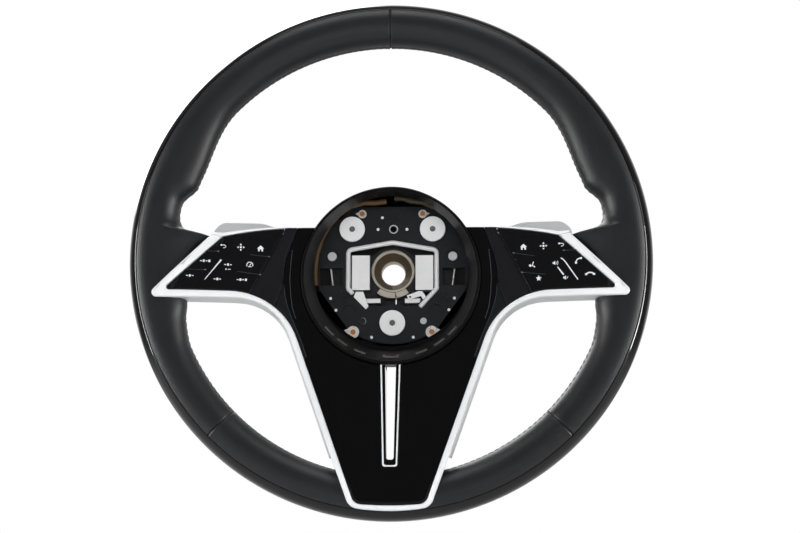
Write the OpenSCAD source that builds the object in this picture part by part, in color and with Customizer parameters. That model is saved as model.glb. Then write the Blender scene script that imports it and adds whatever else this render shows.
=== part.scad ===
// Car steering wheel with its airbag taken out, drawn as it lies on a bench:
// x to the right, y up the wheel, z along the steering axis towards the driver.
// upright() then stands it up, with the driver's side facing -Y and the hub's rear face at the origin.

/* [Rim] */
// Outer diameter of the rim
rim_d = 370; // [356:1:384]
// Width of the rim's section, seen from the front
grip_w = 31; // [29:0.5:33]
// Thickness of the rim's section, front to back
grip_t = 34; // [31:0.5:36]
// Width of the hard outer band, seen from the front
band_w = 6.6; // [5.6:0.2:7.6]
// Thickness of the hard outer band
band_t = 2.6; // [2:0.2:3.2]
// Thickness of the leather
leather_t = 1.2; // [1:0.1:1.6]
// Height of the thumb rests above the rim's inner edge
thumb_h = 7.2; // [4:0.2:8]
// Height of the rim's middle plane above the hub's rear face
dish = 80; // [78:0.5:82]

/* [Spokes] */
// Height of the spokes' top edge at the hub, above the axis
spoke_top = 21.4; // [19:0.2:24]
// Distance of the spokes' lower edge below the axis
spoke_low = 29.6; // [27:0.2:32]
// Half width at which the lower spoke's sides leave the upper spokes
shoulder_x = 81; // [78:0.5:84]
// Width of the lower spoke where it meets the rim
foot_w = 56; // [50:0.5:62]
// How far the silver tips stop short of the rim's outer edge
tip_gap = 13.7; // [12.5:0.1:15]
// Width of the silver trim on the upper spokes
trim_w = 4.9; // [4:0.1:5.6]
// Thickness of the silver trim
trim_t = 5; // [4:0.1:5.4]
// Thickness of the glossy fascia
fascia_t = 3; // [2.2:0.1:3.4]
// Thickness of the silver side wall below the trim
skirt_t = 1.8; // [1.4:0.1:2.2]
// Depth of the silver side wall below the trim
skirt_h = 14; // [10:0.5:16]
// Wall of the rear cover
cover_wall = 2.4; // [2:0.1:3]

/* [Airbag well] */
// Outer radius of the well's ring
well_r = 63.4; // [62:0.2:65]
// Distance of the ring's centre below the steering axis
well_drop = 13; // [12:0.2:14]
// Width of the ring's front lip
lip_w = 2.2; // [1.8:0.1:2.6]
// How much narrower than the ring the funnel's deep end is
throat_in = 7.9; // [7:0.1:9]
// Height of the carrier plate's front face above the hub's rear face
plate_z = 36; // [35:0.2:37]
// Gap between the carrier plate's edge and the bowl's outer wall
plate_gap = 6; // [5.6:0.1:7]
// Thickness of the carrier plate
plate_t = 3; // [2.6:0.1:3.6]
// Distance of the horn caps' middles from the carrier plate's edge
cap_edge = 15; // [14:0.2:16]
// Radius of a horn cap
cap_r = 9.3; // [8.6:0.1:9.8]
// Travel of a horn cap
cap_travel = 1.6; // [1:0.1:1.8]
// Thickness of the latch spring's wire
wire_d = 3.4; // [3:0.1:3.8]

/* [Hub] */
// Radius of the bore for the steering shaft
bore_r = 8.8; // [8.4:0.1:9.2]
// Length of the plain and serrated bore
bore_l = 12; // [11:0.5:13]
// Radius of the bolt's counterbore
seat_r = 14; // [13:0.1:14.6]
// Outer radius of the steel bush
bush_r = 16; // [15.4:0.1:16.6]
// Length of the steel bush
bush_l = 21; // [20:0.5:23]
// Number of serrations in the bore
serrations = 36; // [24:1:48]

/* [Controls] */
// Gap around a touch panel
panel_gap = 0.4; // [0.35:0.05:0.6]
// Thickness of a touch panel
panel_t = 2.4; // [2:0.1:3]
// Press travel of a touch panel
panel_travel = 0.5; // [0.3:0.1:0.7]
// Length of a paddle, across the spoke
paddle_l = 62; // [56:1:66]
// Width of a paddle
paddle_w = 40; // [36:0.5:42]
// Thickness of a paddle
paddle_t = 3.4; // [3:0.1:4]
// Radius of a paddle's hinge pin
pin_r = 1.5; // [1.3:0.1:1.8]

/* [Slot] */
// Width of the slot at the hub, at its rear
slot_w = 8; // [7:0.1:9]
// Distance of the slot's end from the lower spoke's foot
slot_foot = 30.1; // [26:0.1:38]
// Width of the silver frame round the slot
frame_w = 1; // [0.8:0.1:1.4]

/* [Hidden] */
$fn = 64;

// Rim, worked out from its driving dimensions
rim_r = rim_d / 2;
rim_c = rim_r - grip_w / 2;
band_in_r = rim_r - band_w;
ring_w = 12;
ring_t = 10;

// Front surface of the spokes: near the hub it lies skin_hub above the rim's plane, and rises to skin_rim
skin_hub = 3;
skin_rim = grip_t / 2 + 0.4;
skin_r0 = well_r + 8.6;
skin_r1 = rim_c - 3;

// Rear cover and bracket
bowl_r = well_r - 1.4;
bowl_mouth_r = bowl_r - 2.6;
bowl_y = -4;
cover_end_r = rim_r - grip_w - 3.6;
tray_in_r = bowl_r + 4;
tray_out_r = rim_c - 18.5;
tray_steps = [0, 0.2235, 0.5176, 0.8118];
tray_r = [for (t = tray_steps) tray_in_r + (tray_out_r - tray_in_r) * t];
back_r = concat(bowl_r - 22, tray_r, tray_out_r);
back_h = [16, 27, 45, 63, 71, 74];
bowl_top = dish - 18.3;
bowl_rear = 10;
column_r = 33;

// Airbag well
throat_r = well_r - throat_in;
plate_r = bowl_r - plate_gap;
well_front = dish + skin_hub + 1.4;
well_back = bowl_top + 0.3;
throat_drop = 7.5;
cap_angles = [136, 44, 270];
cap_h = 4.5;
cap_t = 2.4;
stem_r = 3;
stem_fit = 0.06;
opening_x = 30.6;
plate_top = plate_r - 10.1;
cap_ring_r = plate_r - cap_edge;

// Controls
board_t = 1.6;
pivot_x = bowl_r + 16;
pivot_z = 30;
pin_fit = 0.05;

// Colours, as the photograph shows them
leather_c = "#4a4b50";
gloss_c = "#0c0c10";
charcoal_c = "#1c1d21";
silver_c = "#d8dadc";
metal_c = "#c9c8c4";

// Smooth step from 0 to 1
function ease(t) = let (u = min(max(t, 0), 1)) u * u * (3 - 2 * u);

// Height of the front surface at a distance r from the axis
function skin(r) = dish + skin_hub + (skin_rim - skin_hub) * ease((r - skin_r0) / (skin_r1 - skin_r0));

// Height of the rear cover's back at a distance r from the axis
function back(r) = lookup(r, [for (i = [0:len(back_r) - 1]) [back_r[i], back_h[i]]]);

function unit(v) = v / norm(v);
function reversed(p) = [for (i = [len(p) - 1:-1:0]) p[i]];
function mirrored(p) = [for (q = p) [-q[0], q[1]]];
function flipped(p) = reversed(mirrored(p));

// Points of the round of radius r that replaces corner b between a and c
function corner(a, b, c, r, n) =
    let (u = unit(a - b), v = unit(c - b), half = acos(u * v) / 2, mid = b + unit(u + v) * r / sin(half),
         p = b + u * r / tan(half), q = b + v * r / tan(half), p0 = unit(p - mid), q0 = unit(q - mid),
         turn = acos(p0 * q0))
    [for (i = [0:n]) mid + r * (p0 * sin(turn * (1 - i / n)) + q0 * sin(turn * i / n)) / sin(turn)];

// A path through points [x, y, radius], rounded where the radius is over 0
function rounded(p, n = 5) = [
    for (i = [0:len(p) - 1])
        let (b = [p[i][0], p[i][1]])
        each (p[i][2] > 0 ? corner([p[i - 1][0], p[i - 1][1]], b, [p[i + 1][0], p[i + 1][1]], p[i][2], n) : [b])
];

// A path with steps no longer than the given one
function denser(p, step) = concat(
    [for (i = [0:len(p) - 2])
        let (n = ceil(norm(p[i + 1] - p[i]) / step))
        for (k = [0:n - 1]) p[i] + (p[i + 1] - p[i]) * k / n],
    [p[len(p) - 1]]);

// A path moved sideways by w, to the left of its direction
function shifted(p, w) = [
    for (i = [0:len(p) - 1])
        let (a = p[max(i - 1, 0)], b = p[min(i + 1, len(p) - 1)], d = unit(b - a))
        p[i] + w * [-d[1], d[0]]
];

// Right half of the silver trim's outer edge, from the spoke's top edge round the tip to the wheel's foot
tip_x = rim_r - tip_gap;
trim_start_x = tip_x - spoke_low - 15.7;
foot_y = -(band_in_r - 0.3);
slot_end = -foot_y - slot_foot;
trim_outer = rounded([
    [trim_start_x, 15.3, 0],
    [tip_x, -spoke_low - 0.4, 3.4],
    [shoulder_x, -spoke_low + 0.2, 40],
    [foot_w / 2, foot_y + 2.7, 9],
    [0, foot_y, 0],
], 8);

// Right half of the trim's inner edge, which the panels and the fascia meet
inner_tip_x = tip_x - 12.4;
trim_inner = rounded([
    [trim_start_x - 8, 14.2, 0],
    [inner_tip_x, -spoke_low + trim_w, 1.8],
    [shoulder_x - 3.4, -spoke_low + trim_w, 50],
    [foot_w / 2 - 3.4, foot_y + 5, 7],
    [0, foot_y + 3.7, 0],
], 8);

// Right half of the spokes' top edge, from the trim inwards
edge_bend_x = 60;
edge_sag = 460;
function edge_y(x) = spoke_top - pow(max(x - edge_bend_x, 0), 2) / edge_sag;
top_edge = [for (x = [trim_start_x - 8 : -9.6 : 0.1]) [x, x > trim_start_x - 9 ? 14.2 : edge_y(x)]];

// Lines where the glossy fascia ends and where a touch panel begins
step_line = rounded([[well_r + 2.6, spoke_top + 18.6, 0], [well_r + 2.6, spoke_top - 1, 20],
                     [well_r + 12, -spoke_low + 24.6, 60], [well_r + 12, -spoke_low + 9.6, 30],
                     [well_r + 28.6, -spoke_low - 30.4, 0]]);
panel_line = rounded([[well_r + 8.6, spoke_top + 18.6, 0], [well_r + 12, spoke_top - 3.4, 12],
                      [well_r + 37.2, -spoke_low - 0.4, 0], [well_r + 40.6, -spoke_low - 14.4, 0]]);

// Stands the wheel up, with its steering axis along Y
module upright() { rotate([90, 0, 0]) children(); }

module on_right() { children(); }
module on_left() { mirror([1, 0, 0]) children(); }

// A solid of revolution about the steering axis between two radii, under the front surface
skin_radii = [for (r = [skin_r0 : 9.4 : skin_r1 - 1]) r];
module skin_layer(lift, thick, r_in = 0) {
    radii = concat(r_in, [for (r = skin_radii) if (r > r_in) r], skin_r1, rim_r + 8);
    rotate_extrude($fn = 128)
        polygon(concat(
            [for (r = radii) [r, skin(r) + lift]],
            [for (r = reversed(radii)) [r, skin(r) + lift - thick]]));
}

// A flat outline cut from a layer under the front surface
module on_skin(lift, thick) {
    intersection() {
        translate([0, 0, dish - 30]) linear_extrude(60) children();
        skin_layer(lift, thick);
    }
}

// Whole front outline within the trim's outer edge
module front_outline() {
    polygon(concat(trim_outer, flipped(trim_outer), mirrored(top_edge), reversed(top_edge)));
}

// The field that the trim's inner edge and the spokes' top edges enclose
module front_field() {
    polygon(concat(trim_inner, flipped(trim_inner), mirrored(top_edge), reversed(top_edge)));
}

// Everything to the right of a line
module beyond(line) {
    polygon(concat(line, [[rim_r, line[len(line) - 1][1]], [rim_r, line[0][1]]]));
}

module well_disc(grow = 0) {
    translate([0, -well_drop]) circle(r = well_r + grow);
}

// Slot outline: half widths at the hub and at its end, and the distance of the end
module slot_shape(half_top, half_end, end, r = 1.6) {
    y0 = -bowl_r - 6.4;
    side = rounded([[half_top, y0, 0], [half_end, -end, r], [0, -end, 0]]);
    polygon(concat(side, flipped(side)));
}

slot_front_top = slot_w / 2 + 2.2;
slot_front_end = 4.1;
slot_rear_end = 2.5;
slot_wall = 1.4;

// Rim's inner edge at an angle from the right-hand side, with the thumb rest and the spoke's root
function thumb(a) = thumb_h * ease((a - 14.5) / 6) * (1 - ease((a - 24) / 20));
root_at = [[-24, 0], [-22.4, 0.4], [-19, 2], [-16.3, 3.4], [-13.6, 6.2], [-10, 8], [-5, 9], [0, 15], [3, 20],
           [5, 25], [6.8, 26.6], [7.3, 22], [7.6, 12], [8.2, 6.2], [9, 3.4], [10, 1.7], [11.4, 0.5], [13, 0]];
function root(a) = lookup(a, root_at);
function side_angle(a) = a > 90 && a <= 270 ? 180 - a : a > 270 ? a - 360 : a;
function inward(a) = grip_w / 2 + thumb(side_angle(a)) + root(side_angle(a));

// Stations round the rim, closer together at the thumb rests and the spoke roots
side_steps = [-84, -72, -60, -48, -36, -27, -22.4, -19, -16.3, -13.6, -10, -4, 1, 5, 6.8, 7.3, 7.6, 8.2, 9, 10, 11.4,
              13, 15, 17, 19, 21.5, 24, 28, 33, 38, 44, 52, 61, 70, 80];
stations = concat(side_steps, [90], [for (a = reversed(side_steps)) 180 - a]);
grip_sides = 18;

// One section of the rim at an angle, shrunk by the depth t
function grip_section(a, t) = [
    for (k = [0:grip_sides - 1])
        let (w = 360 * (k + 0.5) / grip_sides, reach = cos(w) > 0 ? grip_w / 2 : inward(a),
             r = rim_c + (reach - t) * cos(w), z = dish + (grip_t / 2 - t) * sin(w))
        [r * cos(a), r * sin(a), z]
];

module grip_solid(t) {
    n = len(stations);
    points = [for (a = stations) each grip_section(a, t)];
    faces = [
        for (i = [0:n - 1], k = [0:grip_sides - 1])
            let (i2 = (i + 1) % n, k2 = (k + 1) % grip_sides)
            each [[i * grip_sides + k, i * grip_sides + k2, i2 * grip_sides + k2],
                  [i * grip_sides + k, i2 * grip_sides + k2, i2 * grip_sides + k]]
    ];
    polyhedron(points, faces);
}

// Section of the outer band: the rim's own oval outside the groove
module band_section(grow = 0, deep = 0) {
    limit = acos((band_in_r - rim_c - grow) / (grip_w / 2));
    steps = 12;
    outer = [for (i = [0:steps]) let (w = -limit + 2 * limit * i / steps)
        [rim_c + (grip_w / 2 + grow) * cos(w), dish + (grip_t / 2 + grow) * sin(w)]];
    inner = [for (i = [steps:-1:0]) let (w = -limit + 2 * limit * i / steps)
        [rim_c + (grip_w / 2 - band_t - deep) * cos(w), dish + (grip_t / 2 - band_t - deep) * sin(w)]];
    polygon(concat(outer, inner));
}

// Cast frame: hub, side arms and lower arms, which run between the rear cover and the front pieces to the rim's ring
hub_z = bowl_rear + cover_wall;
hub_plate_r = bowl_r - 17;
arm_room = 10.5;
arm_clear = 1.3;
arm_r = concat(tray_r, tray_out_r - 1);
function arm_low(r) = back(r) + cover_wall + arm_clear;
function arm_high(r) = min(skin(r) - arm_room, arm_low(r) + 15);
function arm_profile(w) = concat(
    [[14, hub_z], [bowl_r - 24, hub_z], [bowl_r - 12, 20], [bowl_r - 5, 29.5]],
    [for (r = arm_r) [r, arm_low(norm([r, w]))]],
    [[rim_c, dish - 3]], [[rim_c, dish + 4]], [for (r = reversed(arm_r)) [r, arm_high(r)]],
    [[bowl_r - 4, plate_z - plate_t], [bowl_r - 16, 24], [14, 24]]);
side_arm_y = [-16, 10];
lower_arm_x = [12, 23];

module side_arm() {
    translate([0, side_arm_y[1], 0]) rotate([90, 0, 0]) linear_extrude(side_arm_y[1] - side_arm_y[0])
        polygon(arm_profile(-side_arm_y[0]));
}

module lower_arm() {
    translate([lower_arm_x[0], 0, 0]) rotate([90, 0, 90]) linear_extrude(lower_arm_x[1] - lower_arm_x[0])
        polygon(mirrored(arm_profile(lower_arm_x[1])));
}

module ring_blank() {
    rotate_extrude($fn = 128) translate([rim_c - ring_w / 2, dish - ring_t / 2]) square([ring_w, ring_t]);
}

// Steel ring in the rim, a channel open to the rear
module rim_core() {
    color(metal_c) rotate_extrude($fn = 128) difference() {
        translate([rim_c - ring_w / 2, dish - ring_t / 2]) square([ring_w, ring_t]);
        translate([rim_c - ring_w / 2 + 3, dish - ring_t / 2 - 1]) square([ring_w - 6, ring_t - 3]);
    }
}

block_x = [16.8, 29.8];
block_y = [-15.8, 9.9];
block_z = 34;
web_z = 25;
board_posts = [[well_r + 40.6, -8], [inner_tip_x - 32.9, -12]];
plate_post_r = plate_r - 16;
plate_post_angles = [70, 110, 205, 335];

module frame_blank() {
    for (side = [0, 1]) mirror([side, 0, 0]) {
        side_arm();
        lower_arm();
    }
    ring_blank();
}

module armature() {
    color(metal_c) difference() {
        union() {
            cylinder(h = web_z, r = bush_r + 2.2);
            translate([0, 0, hub_z]) cylinder(h = 5, r = hub_plate_r);
            translate([-block_x[0], block_y[0], hub_z])
                cube([2 * block_x[0], block_y[1] - block_y[0] + 1, web_z - hub_z]);
            translate([-5.6, -21.2, hub_z]) cube([11.2, 10, web_z - hub_z]);
            for (side = [0, 1]) mirror([side, 0, 0]) {
                side_arm();
                lower_arm();
                translate([block_x[0], block_y[0], hub_z])
                    cube([block_x[1] - block_x[0], block_y[1] - block_y[0], block_z - hub_z]);
                translate([9, -25.3, hub_z]) cube([12, 3.2, plate_z - plate_t - hub_z]);
                // Posts that carry the switch board
                for (p = board_posts) on_skin(board_lift - board_t, 12) translate(p) circle(r = 2.4);
            }
            for (a = plate_post_angles) rotate(a) translate([plate_post_r, 0, hub_z])
                cylinder(h = plate_z - plate_t - hub_z, r = 4);
        }
        translate([0, 0, -1]) cylinder(h = web_z + 2, r = bush_r);
        translate([1.7, -24, -1]) cube([0.8, 10, web_z + 2]);
        for (side = [0, 1]) mirror([side, 0, 0]) {
            // Pockets that lighten the side arms, open to the front
            for (x = [92, 118]) translate([x, side_arm_y[0] + 4, arm_low(x + 11) + 3.4])
                cube([21, side_arm_y[1] - side_arm_y[0] - 8, 30]);
            translate([24, -24, hub_z - 1]) cylinder(h = 30, r = 4);
        }
        for (a = cap_angles) rotate(a) translate([cap_ring_r, 0, hub_z - 1]) cylinder(h = 8, r = stem_r + 1.4);
        for (a = screw_angles) rotate(a) translate([screw_ring_r, 0, -1]) cylinder(h = 40, r = screw_r);
        // The arms end on the ring's inner wall
        difference() {
            translate([0, 0, dish - 20]) cylinder(h = 40, r = rim_r);
            translate([0, 0, dish - 21]) cylinder(h = 42, r = rim_c - ring_w / 2, $fn = 128);
        }
    }
}

// Steel bush with the serrated bore and the bolt's seat
module spline_bush() {
    color("#b9b3a6") difference() {
        cylinder(h = bush_l, r = bush_r);
        translate([0, 0, -1]) cylinder(h = bush_l + 2, r = bore_r);
        translate([0, 0, bore_l]) cylinder(h = bush_l - bore_l - 2, r1 = bore_r, r2 = seat_r);
        translate([0, 0, bush_l - 2]) cylinder(h = 3, r = seat_r);
        for (i = [0:serrations - 1]) rotate(i * 360 / serrations)
            translate([bore_r - 0.2, 0, bore_l / 2]) linear_extrude(bore_l)
                polygon([[0, -0.45], [0.75, 0], [0, 0.45]]);
    }
}

module rim_foam() {
    color("#2b2b2d") difference() {
        grip_solid(leather_t);
        frame_blank();
        front_pocket();
        rotate_extrude($fn = 128) band_section(0.5, 0.2);
    }
}

module rim_leather() {
    color(leather_c) difference() {
        grip_solid(0);
        grip_solid(leather_t);
        frame_blank();
        front_pocket();
        rotate_extrude($fn = 128) band_section(0.5, 0.2);
    }
}

// Room in the rim for what lies on its front
pocket_z = dish + skin_rim - trim_t - 1.4;
pocket_fit = 0.3;
module front_pocket() {
    translate([0, 0, pocket_z]) linear_extrude(30) offset(delta = pocket_fit) front_outline();
    translate([0, 0, dish - grip_t]) linear_extrude(60) intersection() {
        offset(delta = pocket_fit) cover_outline(cover_inset);
        circle(r = cover_end_r + pocket_fit, $fn = 128);
    }
    // Slits for the ends of the silver side walls
    for (side = [0, 1]) mirror([side, 0]) translate([0, 0, dish - 8]) linear_extrude(30)
        polygon([[cover_end_r - 30, -spoke_low + 0.2 + skirt_t + 0.5], [skirt_x + 0.5, -spoke_low + 0.2 + skirt_t + 0.5],
                 [skirt_x + 0.5, -spoke_low - skirt_flare - 0.4], [cover_end_r - 30, -spoke_low - skirt_flare - 0.4]]);
}

module rim_band() {
    color(gloss_c) rotate_extrude($fn = 180) band_section();
}

module trim_bezel() {
    color(silver_c) on_skin(0.6, trim_t)
        polygon(concat(trim_outer, flipped(trim_outer), mirrored(trim_inner), reversed(trim_inner)));
}

// Silver side wall under the trim, sloping outwards from the tip to the rim's lower half
skirt_flare = 1.4;
skirt_x = cover_end_r - 2;
skirt_end_y = foot_y + 37.1;
skirt_top = trim_t - 0.4;
function leg_x(y) = shoulder_x - (shoulder_x - foot_w / 2) * (y + spoke_low) / (foot_y + spoke_low);
skirt_path = denser(rounded([[skirt_x, -spoke_low + 0.2, 0], [shoulder_x, -spoke_low + 0.2, 40],
                             [leg_x(skirt_end_y), skirt_end_y, 0]], 8), 8);
module trim_skirt() {
    flared = shifted(skirt_path, skirt_flare);
    upper_in = shifted(skirt_path, -skirt_t);
    lower_in = shifted(skirt_path, skirt_flare - skirt_t);
    color(silver_c) tube_of([
        for (i = [0:len(skirt_path) - 1])
            let (high = skin(norm(skirt_path[i])) - skirt_top, low = high - skirt_h)
            [concat(skirt_path[i], high), concat(flared[i], low), concat(lower_in[i], low), concat(upper_in[i], high)]
    ]);
}

// Closed solid through a list of rings with equal counts of points
module tube_of(rings) {
    n = len(rings);
    m = len(rings[0]);
    faces = concat(
        [[for (k = [0:m - 1]) k]],
        [[for (k = [m - 1:-1:0]) (n - 1) * m + k]],
        [for (i = [0:n - 2], k = [0:m - 1]) let (k2 = (k + 1) % m)
            each [[i * m + k, (i + 1) * m + k2, i * m + k2], [i * m + k, (i + 1) * m + k, (i + 1) * m + k2]]]);
    polyhedron([for (r = rings) each r], faces);
}

module front_fascia() {
    color(gloss_c) difference() {
        on_skin(0, fascia_t) difference() {
            front_field();
            beyond(step_line);
            mirror([1, 0]) beyond(step_line);
            slot_shape(slot_front_top + frame_w, slot_front_end + frame_w, slot_end);
        }
        translate([0, -well_drop, dish - 20]) cylinder(h = 60, r = well_r + 0.2, $fn = 128);
    }
}

module slot_frame() {
    color(silver_c) difference() {
        on_skin(0.3, fascia_t) difference() {
            slot_shape(slot_front_top + frame_w, slot_front_end + frame_w, slot_end);
            slot_shape(slot_front_top, slot_front_end, slot_end - frame_w);
        }
        translate([0, -well_drop, dish - 20]) cylinder(h = 60, r = well_r + 0.2, $fn = 128);
    }
}

// Drafted walls of the slot, from the fascia to the rear cover
module slot_liner() {
    color(gloss_c) difference() {
        intersection() {
            translate([0, 0, 20]) linear_extrude(90) difference() {
                slot_shape(slot_w / 2 + slot_wall, slot_rear_end + slot_wall, slot_end - frame_w - 2 + slot_wall);
                slot_shape(slot_w / 2, slot_rear_end, slot_end - frame_w - 4);
            }
            back_layer(0.1, fascia_t + 0.1);
        }
        translate([0, -well_drop, dish - 40]) cylinder(h = 80, r = well_r + 0.2, $fn = 128);
    }
}

module pad_frame() {
    color(charcoal_c) on_skin(0, fascia_t) difference() {
        intersection() {
            front_field();
            translate([0.2, 0]) beyond(step_line);
        }
        beyond(panel_line);
    }
}

module touch_panel() {
    color(charcoal_c) on_skin(0, panel_t) offset(delta = -panel_gap) intersection() {
        front_field();
        beyond(panel_line);
    }
}

// Circuit board that the panel presses on, with its switch domes
board_lift = -panel_t - panel_travel - 1.3;
dome_h = 0.7;
dome_in_x = well_r + 38.6;
dome_out_x = inner_tip_x - 28.9;
domes = [[dome_in_x, -9], [(dome_in_x + dome_out_x) / 2, -11], [dome_out_x, -15]];
board_inset = 6.4;
module switch_board() {
    color("#1f5a3a") {
        on_skin(board_lift, board_t) offset(delta = -board_inset) intersection() {
            front_field();
            beyond(panel_line);
        }
        for (p = domes) on_skin(board_lift + dome_h, dome_h + 0.4) translate(p) circle(r = 3);
    }
}

// Rear shell: a bowl round the column, blended into trays behind the spokes
back_radii = concat([for (r = back_r) if (r < cover_end_r) r], cover_end_r);
module back_layer(grow, top) {
    rotate_extrude($fn = 128)
        polygon(concat(
            [for (r = concat(back_radii[0], skin_radii, cover_end_r)) if (r <= cover_end_r) [r, skin(r) - top]],
            [for (r = reversed(back_radii)) [r, back(r) + grow]]));
}

cover_inset = 3.4;
cover_top = trim_t - 0.4;
module cover_outline(inset) {
    offset(delta = -inset) front_outline();
}

// Bowl round the steering column, open towards the spokes
module rear_bowl() {
    color("#17181a") difference() {
        translate([0, bowl_y, 0]) rotate_extrude($fn = 128)
            polygon([[column_r, bowl_rear], [bowl_r - 12, bowl_rear], [bowl_r, bowl_rear + 16],
                     [bowl_r, bowl_top - 13.7], [bowl_mouth_r, bowl_top], [bowl_mouth_r - cover_wall, bowl_top],
                     [bowl_r - cover_wall, bowl_top - 13.7], [bowl_r - cover_wall, bowl_rear + 17],
                     [bowl_r - 13, bowl_rear + cover_wall], [column_r, bowl_rear + cover_wall]]);
        // Openings for the arms
        translate([-bowl_r - 9, side_arm_y[0] - 1, arm_gate_z]) cube([2 * bowl_r + 18, 28, bowl_top - 6 - arm_gate_z]);
        for (side = [0, 1]) mirror([side, 0, 0])
            translate([lower_arm_x[0] - 1, -bowl_r - 9, arm_gate_z]) cube([13, 40, bowl_top - 6 - arm_gate_z]);
        for (a = screw_angles) rotate(a) translate([screw_ring_r, 0, -1]) cylinder(h = 30, r = screw_r + 0.3);
    }
}

// Trays behind the spokes
module rear_cover() {
    color("#17181a") difference() {
        intersection() {
            translate([0, 0, 20]) linear_extrude(90) cover_outline(cover_inset);
            back_layer(0, cover_top);
        }
        intersection() {
            translate([0, 0, 20]) linear_extrude(90) {
                cover_outline(cover_inset + cover_wall);
                // Ways out for the side arms
                for (side = [0, 1]) mirror([side, 0])
                    translate([96, side_arm_y[0] - 0.5]) square([60, side_arm_y[1] - side_arm_y[0] + 1]);
            }
            back_layer(cover_wall, -20);
        }
        translate([0, bowl_y, 10]) cylinder(h = 90, r = bowl_r + 0.05, $fn = 128);
        translate([0, 0, 20]) linear_extrude(80)
            slot_shape(slot_w / 2 + slot_wall + 0.2, slot_rear_end + slot_wall + 0.2,
                       slot_end - frame_w - 2 + slot_wall + 0.2);
        translate([0, -well_drop, well_back]) cylinder(h = 60, r = well_r + 0.3, $fn = 128);
    }
}

screw_r = 1.6;
arm_gate_z = 28.2;
screw_ring_r = bowl_r - 20;
screw_angles = [20, 160, 235, 305];

module cover_screws() {
    color("#3a3a3c") for (a = screw_angles) rotate(a) translate([screw_ring_r, 0, bowl_rear - 2.2]) {
        difference() {
            cylinder(h = 2.2, r = 3.6);
            translate([0, 0, -1]) cylinder(h = 2.4, r = 1.9, $fn = 6);
        }
        translate([0, 0, 2]) cylinder(h = 12, r = screw_r);
    }
}

// Ring and funnel that the airbag drops into
module funnel(grow = 0) {
    hull() {
        translate([0, -well_drop, well_front]) cylinder(h = 1, r = well_r - lip_w + grow, $fn = 96);
        translate([0, -throat_drop, well_back - 1]) cylinder(h = 1, r = throat_r + grow, $fn = 96);
    }
}

module well_ring() {
    color("#202023") difference() {
        translate([0, -well_drop, well_back]) rotate_extrude($fn = 128)
            polygon([[0, 0], [well_r - 4, 0], [well_r, 4], [well_r, well_front - well_back - 1],
                     [well_r - 0.8, well_front - well_back], [0, well_front - well_back]]);
        funnel();
    }
}

// Anti-rattle springs and the wire staple on the funnel's lower wall
spring_angles = [-138, -126, -112, -68, -54, -42];
spring_t = 0.8;
spring_z = dish - 3;
module funnel_skin() {
    difference() {
        funnel(-0.02);
        funnel(-spring_t);
    }
}

module well_springs() {
    color(silver_c) intersection() {
        funnel_skin();
        for (a = spring_angles) translate([0, -well_drop, spring_z]) rotate(a)
            translate([throat_r - 8, -4.2, 0]) cube([20, 8.4, 2.2]);
    }
}

module well_staple() {
    color(silver_c) intersection() {
        funnel_skin();
        translate([0, -well_drop - well_r, spring_z - 3]) {
            translate([-5.6, 0, 2.4]) cube([11.2, 20, 1.6]);
            for (x = [-5.6, 4.2]) translate([x, 0, 0]) cube([1.4, 20, 3.2]);
        }
    }
}

// Plate that carries the horn caps, the latch and the contacts
module plate_outline() {
    difference() {
        circle(r = plate_r, $fn = 128);
        translate([-plate_r, plate_top]) square([2 * plate_r, 20]);
        // Straight lower sides and cut upper corners
        for (side = [0, 1]) mirror([side, 0]) {
            polygon([[plate_r - 1.4, -14.6], [plate_r - 24.4, -46], [plate_r + 4, -46], [plate_r + 4, -14.6]]);
            polygon([[plate_r - 27.8, plate_top + 1], [plate_r - 17.4, plate_top - 9.3], [plate_r, plate_top + 1]]);
        }
        polygon(rounded([[opening_x, 12.8, 0], [0, 17.4, 0], [-opening_x, 12.8, 0], [-opening_x, -14.6, 0],
                         [-17, -28, 0], [17, -28, 0], [opening_x, -14.6, 0]]));
        for (side = [0, 1]) mirror([side, 0]) translate([36.6, -12.6]) square([16.6, 12.8]);
        translate([0, 29]) circle(r = 2.6);
    }
}

module carrier_plate() {
    color("#303135") difference() {
        union() {
            translate([0, 0, plate_z - plate_t]) linear_extrude(plate_t) plate_outline();
            for (a = cap_angles) rotate(a) translate([cap_ring_r, 0, plate_z - plate_t - 5])
                cylinder(h = 5.2, r = stem_r + 2);
        }
        for (a = cap_angles) rotate(a) translate([cap_ring_r, 0, plate_z - 12]) {
            cylinder(h = 20, r = stem_r + stem_fit);
        }
        for (side = [0, 1]) mirror([side, 0, 0]) {
            translate([44.2, 8.6, plate_z - 1.2]) cylinder(h = 3, r = 5.4);
            translate([31.6, -31.8, plate_z - 1.6]) cylinder(h = 3, r = 5);
            translate([37.3, -21.8, plate_z - 1])
                for (a = [0:45:135]) rotate(a) translate([-4.6, -0.5, 0]) cube([9.2, 1, 2]);
        }
        translate([0, 38.4, plate_z - 1.4]) linear_extrude(3)
            polygon(concat([for (a = [0:15:360]) [5.2 * cos(a), 3.2 * sin(a)]]));
    }
}

// Horn cap on its stem, which slides in the carrier plate
module horn_cap(a) {
    color("white") rotate(a) translate([cap_ring_r, 0, 0]) {
        difference() {
            translate([0, 0, plate_z + cap_h - cap_t]) cylinder(h = cap_t, r = cap_r);
            translate([0, 0, plate_z + cap_h - 0.4]) cylinder(h = 1, r = 2.2);
        }
        translate([0, 0, plate_z - 11]) cylinder(h = 13.4, r = stem_r);
        translate([0, 0, plate_z - 11]) cylinder(h = 2, r = stem_r + 0.4);
    }
}

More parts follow.
